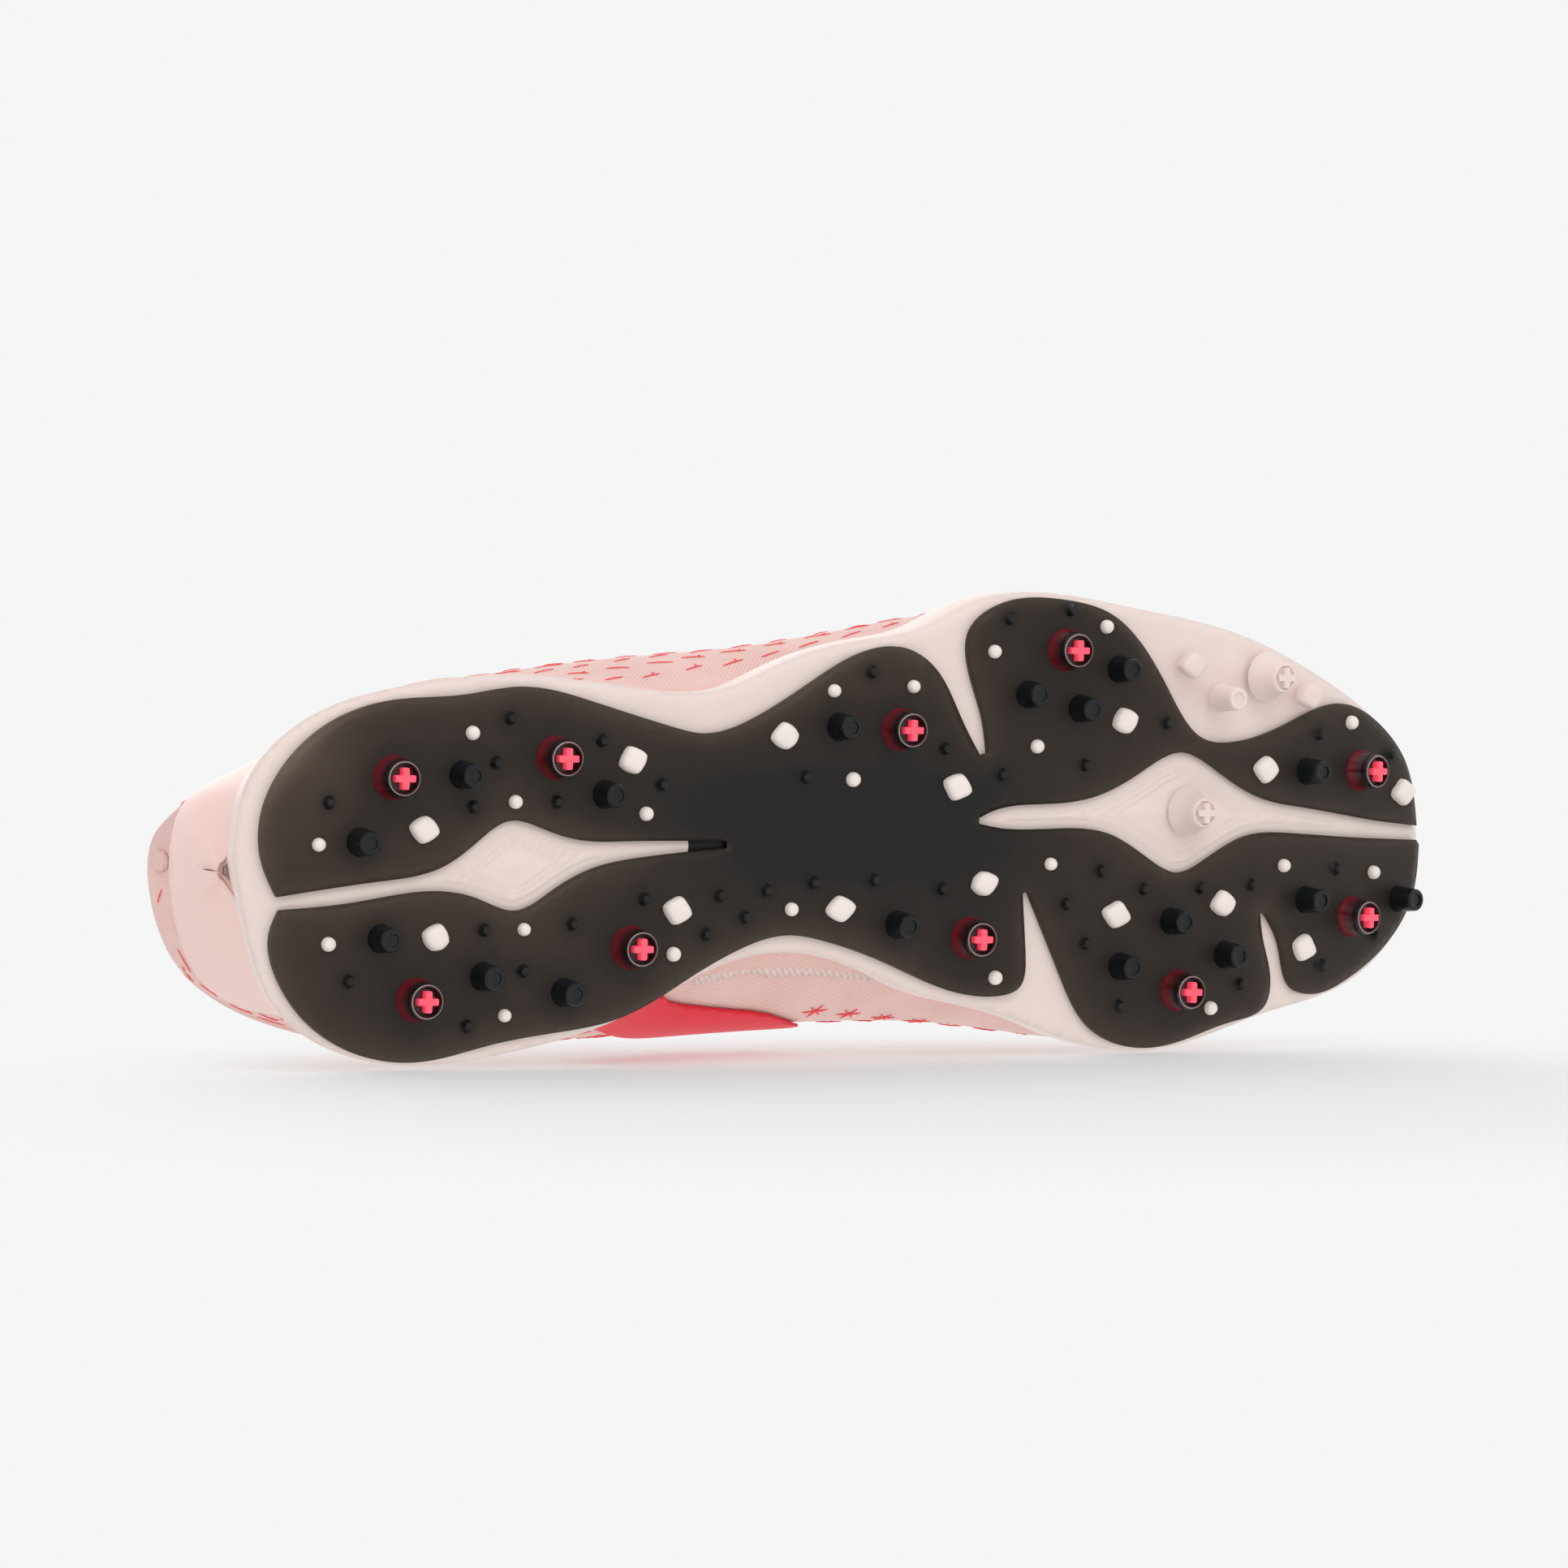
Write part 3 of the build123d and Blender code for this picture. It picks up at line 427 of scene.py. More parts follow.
CROSS_STUDS = [(-113, -12.5), (-76.5, -16.5), (-107, 32.5), (-58.5, 22.5), (4, -22.5), (22, 21.5)]
CROSS_STUDS += [(44, -39.5), (74.5, 33.5), (125, -13.5), (123.5, 18.5)]
PALE_CROSS_STUDS = [(96.5, -34), (76, -5)]
ROUND_STUDS = [(-120, 0.5), (-97.5, -13), (-65, -9), (-115, 20), (-92, 28), (-73.5, 31.5), (-10.5, -23)]
ROUND_STUDS += [(4.5, 18.5), (35, -30), (48, -27), (57.5, -35.5), (72.5, 18.5), (59.5, 28), (87, 26)]
ROUND_STUDS += [(109, -13.5), (109.5, 14.5), (138, 15)]
PALE_ROUND_STUDS = [(83.5, -29.5)]
PEBBLES = [(-106, -2), (-103, 20), (-59, -16), (-48, 15), (-23.5, -21), (18, -10.5), (-9.5, 15), (25, 10)]
PEBBLES += [(59, -24.5), (97, -14), (138.5, -8.5), (58, 17), (86, 15), (109, 25)]
PALE_PEBBLES = [(75, -36.5), (107.5, -30)]
PIPS = [(-129, 1), (-95.5, -21.5), (-85.5, -7.5), (-55.5, -5), (-126.5, 21), (-87, 36), (-83, 18.5)]
PIPS += [(-48.5, 24), (-12, -30.5), (7, -31.5), (-7, -12), (26.5, -39), (37.5, -19), (-21, 15), (41.5, 6)]
PIPS += [(28.5, 30), (54, -44.5), (122, -24), (103, 7), (130, 9), (83.5, 37.5)]
NUBS = [(-127, -7.5), (-87, -24.5), (-90, -15.5), (-66, -20), (-52, -11), (-95, -6.5), (-76, -7.5)]
NUBS += [(-122, 28.5), (-95.5, 38), (-92, 18.5), (-83, 27), (-72, 17.5), (-55.5, 12.5), (-3, -34.5)]
NUBS += [(-18.5, -12.5), (15, -18.5), (29, -13), (30, -46), (45, -48), (49.5, -15), (-38, 12), (-32, 16.5)]
NUBS += [(-41, 20), (-27, 11), (-16, 9.5), (-1.5, 9), (15, 11), (45.5, 14.5), (50.5, 23), (70, -24)]
NUBS += [(112.5, -21.5), (134.5, -17), (54, 7.5), (65, 11.5), (80, 11.5), (94, 11), (118.5, 8)]
NUBS += [(59.5, 36.5), (91.5, 32.5), (115, 29), (131, 23)]


def filled(outline, pitch, margin=1.0, fine=(), fine_pitch=0.55):
    """Triangles that fill an outline, on a grid of inner points that is closer inside the fine outlines."""
    low = outline.min(0)
    high = outline.max(0)
    xs = np.arange(low[0], high[0], pitch)
    ys = np.arange(low[1], high[1], pitch)
    grid = np.array([(x + (pitch / 2 if j % 2 else 0), y) for j, y in enumerate(ys) for x in xs])
    keep = inside(outline, grid) & (edge_distance(outline, grid) > margin)
    points = [outline, grid[keep]]
    for ring in fine:
        low = ring.min(0)
        high = ring.max(0)
        close = np.array([(x, y) for x in np.arange(low[0], high[0], fine_pitch)
                          for y in np.arange(low[1], high[1], fine_pitch)])
        within = inside(ring, close) & inside(outline, close)
        points[1] = points[1][~inside(ring, points[1])]
        points.append(close[within][edge_distance(outline, close[within]) > margin])
    points = np.vstack(points)
    count = len(outline)
    edges = [(i, (i + 1) % count) for i in range(count)]
    verts, _, faces, _, _, _ = delaunay_2d_cdt([Vector(p) for p in points], edges, [], 1, 1e-5)
    return np.array([(v.x, v.y) for v in verts]), faces


def inside(outline, points):
    """Even-odd test of many points at once."""
    hit = np.zeros(len(points), bool)
    x, y = points[:, 0], points[:, 1]
    for a, b in zip(outline, np.roll(outline, -1, axis=0)):
        crosses = (a[1] > y) != (b[1] > y)
        if crosses.any():
            at = a[0] + (y - a[1]) * (b[0] - a[0]) / (b[1] - a[1] if b[1] != a[1] else 1e-9)
            hit ^= crosses & (x < at)
    return hit


def edge_distance(outline, points):
    """Distance from each point to the nearest stretch of an outline."""
    best = np.full(len(points), 1e9)
    for a, b in zip(outline, np.roll(outline, -1, axis=0)):
        ab = b - a
        share = np.clip(((points - a) @ ab) / max(ab @ ab, 1e-12), 0, 1)
        best = np.minimum(best, np.linalg.norm(points - (a + share[:, None] * ab), axis=1))
    return best


def mounds(points, places, height, radius):
    """Soft rises round some places, for the fairing at a stud's root."""
    out = np.zeros(len(points))
    for p in places:
        d = np.linalg.norm(points - np.array(p), axis=1) / radius
        out = np.maximum(out, height * np.where(d < 1, (1 - d**2) ** 2, 0))
    return out


def layer_solid(outline, flat, faces, low, high, bulge):
    """A closed sheet between two levels. bulge pushes its lower face down."""
    n = len(flat)
    bottom = np.column_stack([flat, level(flat[:, 0], low) - bulge])
    top = np.column_stack([flat, level(flat[:, 0], high)])
    quads = [tuple(f[::-1]) for f in faces] + [tuple(k + n for k in f) for f in faces]
    count = len(outline)
    for i in range(count):
        j = (i + 1) % count
        quads.append((i, j, j + n, i + n))
    return np.vstack([bottom, top]), quads


def smoked_plate():
    outline = closed_outline(HEEL_LATERAL, FORE_LATERAL, TOE_SLOT_LATERAL, TOE_SLOT_MEDIAL, TOE_MEDIAL,
                             FORE_MEDIAL, REAR_MEDIAL, HEEL_SLOT_MEDIAL, HEEL_SLOT_LATERAL)
    flat, faces = filled(outline, 1.5)
    bulge = mounds(flat, CROSS_STUDS, 0.9, 8.0)
    bulge = np.maximum(bulge, mounds(flat, ROUND_STUDS, 0.5, 5.5))
    bulge = np.maximum(bulge, mounds(flat, PEBBLES, 0.35, 5.0))
    rim = np.clip(edge_distance(outline, flat) / 0.9, 0, 1)
    bulge -= 0.45 * (1 - rim) ** 2
    points, quads = layer_solid(outline, flat, faces, 0, PLATE_T, bulge)
    piece = new_piece("smoked_plate", points, quads)
    add_tone(piece, plate_tone(points[:, :2], outline))
    paint(piece, SMOKED)
    bend_with_sole(piece)
    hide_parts("smoked_plate_rear", "smoked_plate_front")


def plate_tone(flat, outline):
    """0 is blue-black, 0.5 the common smoke brown, 1 the light edge; the tone also holds a painted highlight on
    the lateral heel and painted shade round the studs.
    """
    x, y = flat[:, 0], flat[:, 1]
    tone = np.full(len(flat), 0.5)
    shank = np.exp(-(((x + 8) / 46) ** 4) - (((y + 2) / 13) ** 2))
    tone -= 0.45 * shank
    d = edge_distance(outline, flat)
    tone += 0.16 * np.exp(-d / 2.0)
    tone += 0.10 * np.exp(-d / 7.0) * (x < 10)
    # A lighter patch on the lateral heel: a painted highlight, the sheen where light falls on the plate.
    tone += 0.20 * np.exp(-(((x + 132) / 14) ** 2) - (((y + 14) / 14) ** 2))
    # Darker round each stud and nub: painted shade where the studs meet the plate.
    tone -= 0.22 * near(flat, CROSS_STUDS, 7.5)
    tone -= 0.20 * near(flat, ROUND_STUDS, 5.5)
    tone -= 0.16 * near(flat, NUBS, 2.6)
    return np.clip(tone, 0, 1)


def near(points, places, radius):
    out = np.zeros(len(points))
    for p in places:
        d = np.linalg.norm(points - np.array(p), axis=1) / radius
        out = np.maximum(out, np.exp(-d**2 * 1.5))
    return out


smoked_plate()


# ================= the pale base =================
def pale_base():
    """The cup under the foot: a floor seen through the windows, and a side wall up to the upper."""
    outline = rim_at(0.0)
    flat, faces = filled(outline, 1.4, fine=window_slots())
    drop = window_relief(flat)
    lip = np.clip(edge_distance(outline, flat) / 1.6, 0, 1)
    under = level(flat[:, 0], PLATE_T + 0.05) - drop + 0.7 * (1 - lip) ** 2
    bottom = np.column_stack([flat, under])
    count = len(outline)
    rings = []
    low = level(outline[:, 0], PLATE_T + 0.75)
    top = wall_top(outline)
    for share, inset in ((0.15, -0.1), (0.4, -0.12), (0.7, 0.0), (0.93, 0.15), (1.0, 0.5)):
        ring = inward(rim_at(share), inset)
        rings.append(np.column_stack([ring, low + share * (top - low)]))
    inner = inward(rim_at(1.0), 1.5)
    floor = level(inner[:, 0], BASE_T)
    rings.append(np.column_stack([inner, np.maximum(top - 1.0, floor + 0.5)]))
    rings.append(np.column_stack([inner, floor]))
    points = np.vstack([bottom] + rings)
    quads = [tuple(f[::-1]) for f in faces]
    start = len(flat)
    for r in range(len(rings)):
        lower = 0 if r == 0 else start + (r - 1) * count
        upper = start + r * count
        for i in range(count):
            j = (i + 1) % count
            quads.append((lower + i, lower + j, upper + j, upper + i))
    cap = start + (len(rings) - 1) * count
    quads.append(tuple(cap + i for i in range(count)))
    piece = new_piece("pale_base", points, quads)
    paint(piece, PALE_MOULDED, SMOKED)
    for f in piece.data.polygons:
        x, y = f.center.x / MM - SHIFT[0], f.center.y / MM - SHIFT[1]
        if -44.5 < x < -30 and abs(y - 1.5) < 4 and f.normal.z < -0.5:
            f.material_index = 1
    bend_with_sole(piece)
    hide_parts("pale_base_rear", "pale_base_front")


def rim_at(share):
    """The base's outline part of the way up its wall, with the same number of points at each height."""
    first = len(RIM_MEDIAL) - len(LEAN_MEDIAL)
    lateral = np.array(RIM_LATERAL, float)
    lateral[:len(LEAN_LATERAL)] += share * np.array(LEAN_LATERAL)
    medial = np.array(RIM_MEDIAL, float)
    medial[first:] += share * np.array(LEAN_MEDIAL)
    half = 260
    runs = []
    for run, plain in ((lateral, RIM_LATERAL), (medial, RIM_MEDIAL)):
        plain = np.array(plain, float)
        keys = np.concatenate([[0], np.cumsum(np.linalg.norm(np.diff(plain, axis=0), axis=1))])
        runs.append(cubic(keys, run, np.linspace(0, keys[-1], half))[:-1])
    return np.vstack(runs)


def inward(ring, distance):
    """A closed ring moved in square to itself."""
    along = np.roll(ring, -1, axis=0) - np.roll(ring, 1, axis=0)
    along /= np.maximum(np.linalg.norm(along, axis=1), 1e-9)[:, None]
    square = np.column_stack([-along[:, 1], along[:, 0]])
    centre = ring.mean(0)
    if np.sum(square * (centre - ring)) < 0:
        square = -square
    return ring + distance * square


def wall_top(outline):
    """How far up the side wall reaches: lower at the waist, where the upper swells over it."""
    x = outline[:, 0]
    full = level(x, WALL_T)
    waist = np.exp(-(((x + 28) / 26) ** 4))
    return full - 3.5 * waist + 1.3 * np.exp(-(((x + 145) / 3.5) ** 2))


def ridge(distance, at, width, height):
    """A rounded ridge round a shape, from the distance inside its edge."""
    return height * np.exp(-(((distance - at) / width) ** 2))


def window_slots():
    return [closed_outline(HEEL_SLOT_MEDIAL, HEEL_SLOT_LATERAL[:-1] + [(-137, 12)]),
            closed_outline(TOE_SLOT_LATERAL, TOE_SLOT_MEDIAL)]


def window_relief(flat):
    """What the base's floor does inside the plate's openings."""
    out = np.zeros(len(flat))
    for slot in window_slots():
        within = inside(slot, flat)
        d = edge_distance(slot, flat)
        out += np.where(within, 0.25 * np.clip(d / 1.2, 0, 1), 0)
        for at in (2.6, 3.8, 5.0):
            out += np.where(within, ridge(d, at, 0.36, 0.5), 0)
        out += np.where(within, 0.9 * np.clip((d - 4.6) / 5.5, 0, 1) ** 1.3, 0)
    out += mounds(flat, [(76, -5)], 1.4, 8.5)
    for p, height, radius in (((96.5, -34), 1.7, 8.0), ((83.5, -29.5), 1.2, 5.5), ((75, -36.5), 1.0, 8.0),
                              ((107.5, -30), 0.9, 6.0), ((89, -36), 0.9, 6.0)):
        out += mounds(flat, [p], height, radius)
    return out


# ================= studs =================
def lathe(profile, count=32):
    """Points and faces of a turned form from radius and height pairs, bottom to top and into the middle."""
    points = []
    for r, h in profile:
        for i in range(count):
            a = 2 * math.pi * i / count
            points.append((r * math.cos(a), r * math.sin(a), h))
    return np.array(points), ring_faces(len(profile), count, caps=True)


def rounded_cross(span, width, low, high, corner=0.22):
    """A plus sign with rounded arm ends."""
    a, b = span / 2, width / 2
    ring = []
    for turn in range(4):
        c, s = math.cos(turn * math.pi / 2), math.sin(turn * math.pi / 2)
        for px, py in ((b, -b), (a - corner, -b), (a - corner * 0.3, -b + corner * 0.3), (a, -b + corner),
                       (a, b - corner), (a - corner * 0.3, b - corner * 0.3), (a - corner, b)):
            ring.append((px * c - py * s, px * s + py * c))
    ring = np.array(ring)
    n = len(ring)
    points = [np.column_stack([ring, np.full(n, low)]), np.column_stack([ring, np.full(n, high - 0.15)]),
              np.column_stack([ring * (1 - 0.06), np.full(n, high)])]
    return np.vstack(points), ring_faces(3, n, caps=True)


def placed(points, where, lift=0.0, turn=0.0):
    """Local stud points stood on the sole."""
    origin, along, across, down = on_sole(where, lift)
    c, s = math.cos(turn), math.sin(turn)
    x = c * points[:, 0] - s * points[:, 1]
    y = s * points[:, 0] + c * points[:, 1]
    return origin + np.outer(x, along) + np.outer(y, across) + np.outer(points[:, 2], down)


def stud_group(name, places, make, replaces=None, lift=0.0, paints=(), seed=3):
    """One mesh for each body, with the same stud at many places."""
    rng = random.Random(seed)
    for body, suffix, wanted in (("rear", "_rear", True), ("forefoot", "_front", False)):
        chosen = [p for p in places if is_rear(p) == wanted]
        if not chosen:
            continue
        all_points, all_faces, tones, mats = [], [], [], []
        for p in chosen:
            points, faces, shade, material_index = make(rng)
            start = len(tones)
            all_points.append(placed(points, p, lift))
            all_faces += [tuple(start + k for k in f) for f in faces]
            tones += list(shade)
            mats += list(material_index)
        piece = new_piece(name + suffix, np.vstack(all_points), all_faces, body)
        add_tone(piece, tones)
        paint(piece, *paints)
        for f, m in zip(piece.data.polygons, mats):
            f.material_index = m
        piece.data.set_sharp_from_angle(angle=math.radians(38))
        if replaces:
            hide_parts(replaces + suffix)


def plain(points, faces):
    """A stud in one material, with no tone."""
    return points, faces, np.zeros(len(points)), [0] * len(faces)


def shell_stud(_):
    count = 40
    profile = [(4.75, -0.8), (4.6, 0.2), (4.45, 1.1), (4.38, 1.2), (4.22, 2.3), (4.15, 2.4), (4.0, 3.5),
               (3.93, 3.6), (3.8, 4.7), (3.66, 5.35), (3.5, 5.66), (3.3, 5.8), (3.12, 5.82), (3.0, 5.7),
               (2.9, 5.4), (2.86, 4.5)]
    points, faces = lathe(profile, count)
    tone = np.clip((points[:, 2] + 0.2) / 6.0, 0, 1)
    mats = [0] * len(faces)
    # The lip's lighter material is a painted highlight along the rim.
    mats[10 * count:11 * count] = [2] * count  # the bright lip
    mats[-2] = 1  # the cup's floor
    return points, faces, tone, mats


def coral_core(_):
    disc, disc_faces = lathe([(2.85, 0), (2.85, 4.0), (2.8, 4.55), (2.6, 4.62)], 32)
    cross, cross_faces = rounded_cross(4.4, 1.4, 4.4, STUD_H)
    start = len(disc)
    faces = disc_faces + [tuple(start + k for k in f) for f in cross_faces]
    points = np.vstack([disc, cross])
    mats = [1] * len(disc_faces) + [0] * len(cross_faces)
    return points, faces, np.zeros(len(points)), mats


def dark_round_stud(_):
    return plain(*lathe([(3.15, -0.5), (3.0, 0.3), (2.8, 1.6), (2.62, 3.6), (2.45, 5.2), (2.38, 5.55),
                         (2.2, 5.76), (2.0, 5.8), (1.55, 5.8), (1.42, 5.74), (1.34, 5.4), (0.4, 5.3)]))


def pebble_stud(rng):
    """An uneven diamond with soft corners."""
    count = 36
    turn = rng.uniform(-0.35, 0.35)
    uneven = [rng.uniform(0.9, 1.1) for corner in range(4)]
    ring = []
    for i in range(count):
        a = 2 * math.pi * i / count
        c, s = abs(math.cos(a)), abs(math.sin(a))
        corner = int(((a + math.pi / 4) % (2 * math.pi)) // (math.pi / 2)) % 4
        r = 1.0 / ((c / 3.25) ** 1.45 + (s / 2.85) ** 1.45) ** (1 / 1.45)
        r *= 1 + (uneven[corner] - 1) * abs(math.cos(2 * a)) ** 1.5
        ring.append((r * math.cos(a + turn), r * math.sin(a + turn)))
    ring = np.array(ring)
    levels = [(1.0, -0.5), (1.0, 0.5), (0.97, 1.1), (0.9, 1.55), (0.78, 1.9), (0.6, 2.1), (0.35, 2.2),
              (0.1, 2.22)]
    points = np.vstack([np.column_stack([ring * k, np.full(count, h)]) for k, h in levels])
    return plain(points, ring_faces(len(levels), count, caps=True))


def pip_stud(rng):
    size = rng.uniform(0.95, 1.12)
    profile = [(1.4, -0.5), (1.4, 0.4), (1.3, 0.9), (1.08, 1.3), (0.7, 1.55), (0.25, 1.63)]
    return plain(*lathe([(r * size, h) for r, h in profile], 24))


def nub_stud(_):
    return plain(*lathe([(1.7, -0.3), (1.35, 0.1), (1.12, 0.45), (0.98, 1.0), (0.78, 1.38), (0.4, 1.5)], 20))


def pale_cross_stud(_):
    body, body_faces = lathe([(5.4, -1.2), (4.8, 0.0), (4.2, 1.0), (3.75, 2.2), (3.45, 3.6), (3.3, 4.5),
                              (3.0, 4.9), (2.7, 4.98), (2.5, 4.8), (2.4, 4.5)], 36)
    cross, cross_faces = rounded_cross(4.4, 1.4, 4.3, 5.7)
    start = len(body)
    return plain(np.vstack([body, cross]), body_faces + [tuple(start + k for k in f) for f in cross_faces])


def studs():
    stud_group("stud_shells", CROSS_STUDS, shell_stud, "cross_stud_shells",
               paints=(SHELL, CUP, RIM_HIGHLIGHT))
    stud_group("stud_cores", CROSS_STUDS, coral_core, "cross_stud_cores",
               paints=(CORAL_GLOW, CUP))
    stud_group("round_studs_dark", ROUND_STUDS, dark_round_stud, "round_studs",
               paints=(DARK_STUD,))
    stud_group("pebble_trim", PEBBLES, pebble_stud, "pebbles", paints=(PALE_STUD,))
    stud_group("pip_trim", PIPS, pip_stud, "pips", paints=(PALE_STUD,))
    stud_group("nub_trim", NUBS, nub_stud, "nubs", paints=(DARK_NUB,))
    stud_group("window_cross_studs", PALE_CROSS_STUDS, pale_cross_stud, lift=-PLATE_T,
               paints=(PALE_MOULDED,))
    stud_group("window_round_stud", PALE_ROUND_STUDS, dark_round_stud, lift=-PLATE_T,
               paints=(PALE_MOULDED,))
    stud_group("window_pebbles", PALE_PEBBLES, pebble_stud, lift=-PLATE_T,
               paints=(PALE_MOULDED,), seed=5)
    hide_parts("pale_studs_front")


pale_base()
studs()

# ================= the upper's surface =================
# x, then all in y: lateral foot, widest, shoulder; medial shoulder, widest, foot; then crest y and crest z
SECTIONS = [
    (-143.5, 5.5, 0, 2, 11, 13, 8.5, 7, 44), (-141.5, -1.5, -5, 1, 16, 19.5, 15, 8, 62),
    (-138, -9, -9.5, 0.5, 22.5, 27.5, 26, 11, 78), (-131, -15, -14, 0, 28, 33.5, 33.5, 12, 92),
    (-119, -22.5, -20, -4, 33, 38.5, 39.5, 11, 104), (-100, -29, -27.5, -13.5, 36, 43, 43, 8, 109),
    (-70, -29.5, -31.5, -21.5, 33, 42.5, 37.5, 4, 103), (-40, -27, -34.5, -26, 31, 40.5, 25, 1, 86),
    (-10, -35.5, -39.5, -30, 29.5, 39.8, 22.5, -1, 74), (25, -44.5, -46.5, -36.5, 31, 41, 33, -2, 62.5),
    (60, -45.5, -47.5, -36.5, 33.5, 44.5, 43, -2, 53), (90, -40, -41.5, -31.8, 30.9, 41, 38.5, -1, 49.5),
    (115, -30.5, -31.5, -23.7, 26.5, 34.5, 32.5, 1, 47),
    (130, -22, -22.5, -16.7, 21.3, 27.5, 26.5, 1.5, 44.5),
    (139, -13, -14, -10, 14.7, 18.5, 17.5, 2.5, 41.5), (143.5, -3.5, -4.5, -2.7, 7.9, 9.5, 8.5, 3, 37.5),
]
HEEL_LIFT = ([-143.5, -141.5, -138], [11.0, 3.2, 0.0])  # the back of the heel turns in under itself
COLLAR_LINE = [(-160, 66), (-137, 64), (-118, 57.5), (-96, 54), (-76, 60), (-62, 74), (-52, 90)]
ROWS = 121  # points round an arch, foot to foot over the crest
CREST = ROWS // 2
LATERAL_ROWS = range(0, CREST + 1)  # from each foot up to the crest
MEDIAL_ROWS = range(ROWS - 1, CREST - 1, -1)


def crest_y(x):
    return float(np.interp(x, [s[0] for s in SECTIONS], [s[7] for s in SECTIONS]))


def collar_z(x):
    line = run_through(COLLAR_LINE, 0.5)
    return np.interp(x, line[:, 0], line[:, 1])


def arch_columns(stations, depth=0.0):
    """Points of the upper's form: one arch of ROWS points at each station along the shoe."""
    keys = [s[0] for s in SECTIONS]
    values = np.array([s[1:] for s in SECTIONS], float)
    first, last = keys[0], keys[-1]
    middle = (first + last) / 2
    shrink = (last - first - 2 * depth) / (last - first)
    columns = []
    at = np.clip(stations, first, last)
    read = cubic(keys, values, at)
    for x, (foot_l, wide_l, top_l, top_m, wide_m, foot_m, y_crest, z_crest) in zip(at, read):
        z0 = float(level(x, 0)) + 1.5 - 0.4 * max(depth, 0.0) + float(np.interp(x, *HEEL_LIFT))
        zc = z_crest - depth
        zw = z0 + min(19.0, 0.42 * (zc - z0))
        low_l, side_l = foot_l + depth, wide_l + depth
        low_m, side_m = foot_m - depth, wide_m - depth
        zs = zw + 0.76 * (zc - zw)
        points = [(low_l, z0), (side_l, zw), (top_l + 0.76 * depth, zs), (y_crest, zc),
                  (top_m - 0.76 * depth, zs), (side_m, zw), (low_m, z0)]
        points = np.array(points)
        span = np.concatenate([[0], np.cumsum(np.linalg.norm(np.diff(points, axis=0), axis=1))])
        half = (ROWS - 1) // 2
        left = np.linspace(0, span[3], half + 1)
        right = np.linspace(span[3], span[-1], half + 1)[1:]
        arch = cubic(span, points, np.concatenate([left, right]))
        columns.append(np.column_stack([np.full(ROWS, middle + (x - middle) * shrink), arch]))
    return np.array(columns)


def stations_between(start, end, step=1.5):
    """Evenly spaced stations along the shoe, about step apart."""
    count = int((end - start) / step) + 1
    return np.linspace(start, end, count)


STATIONS = np.concatenate([
    np.linspace(-143.5, -138, 12), np.linspace(-138, -120, 15)[1:], stations_between(-120, 120, 1.5)[1:],
    np.linspace(120, 139, 15)[1:], np.linspace(139, 143.5, 9)[1:],
])


class Skin:
    """The upper's outer form at a depth, as a grid that can be sampled and cut."""

    def __init__(self, depth):
        self.grid = arch_columns(STATIONS, depth)
        self.close_ends()
        self.n = self.normals()

    def close_ends(self):
        """Round the heel and the toe off past the first and last sections."""
        g = self.grid
        extra_front, extra_back = [], []
        for k, (share, ahead) in enumerate(((0.86, 0.55), (0.62, 0.95), (0.3, 1.2), (0.02, 1.3))):
            for source, store, sign in ((g[-1], extra_front, 1), (g[0], extra_back, -1)):
                centre = np.array([source[:, 0].mean(), source[CREST, 1], source[0, 2]])
                ring = centre + (source - centre) * np.array([1, share, 0.25 * (1 - share) + share])
                ring[:, 0] += sign * ahead
                store.append(ring)
        self.grid = np.concatenate([np.array(extra_back[::-1]), g, np.array(extra_front)])

    def normals(self):
        g = self.grid
        along = np.gradient(g, axis=0)
        round_ = np.gradient(g, axis=1)
        n = np.cross(round_, along)
        n /= np.maximum(np.linalg.norm(n, axis=2), 1e-9)[:, :, None]
        return -n if n[len(g) // 2, CREST, 2] < 0 else n

    def at(self, x, y):
        """The surface point on top above x and y, with its normal."""
        g = self.grid
        i = int(np.clip(np.searchsorted(g[:, CREST, 0], x), 1, len(g) - 1))
        t = (x - g[i - 1, CREST, 0]) / max(g[i, CREST, 0] - g[i - 1, CREST, 0], 1e-9)
        column = g[i - 1] * (1 - t) + g[i] * t
        rows = slice(18, 103)
        ys = column[rows, 1]
        zs = column[rows, 2]
        order = np.argsort(ys)
        return float(np.interp(y, ys[order], zs[order]))

    def side_point(self, x, z, side):
        """The surface point on one side at x and z, and its outward normal. side is -1 lateral, 1 medial."""
        g = self.grid
        i = int(np.clip(np.searchsorted(g[:, CREST, 0], x), 1, len(g) - 1))
        t = (x - g[i - 1, CREST, 0]) / max(g[i, CREST, 0] - g[i - 1, CREST, 0], 1e-9)
        column = g[i - 1] * (1 - t) + g[i] * t
        normal = self.n[i - 1] * (1 - t) + self.n[i] * t
        rows = LATERAL_ROWS if side < 0 else MEDIAL_ROWS
        zs = column[rows, 2]
        k = np.interp(z, zs, np.arange(len(rows)))
        a, b = rows[int(k)], rows[min(int(k) + 1, len(rows) - 1)]
        f = k - int(k)
        p = column[a] * (1 - f) + column[b] * f
        n = normal[a] * (1 - f) + normal[b] * f
        return p, n / np.linalg.norm(n)


OUTER = Skin(0.0)


def throat_half(x):
    """Half-width of the throat opening; below zero ahead of it."""
    keys = [-90, -75, -50, -5, 4, 7.5, 9]
    halves = [17, 15.5, 12.5, 9, 6.2, 3.6, 0]
    return np.where(np.asarray(x) > 9, -1.0, np.interp(x, keys, halves))


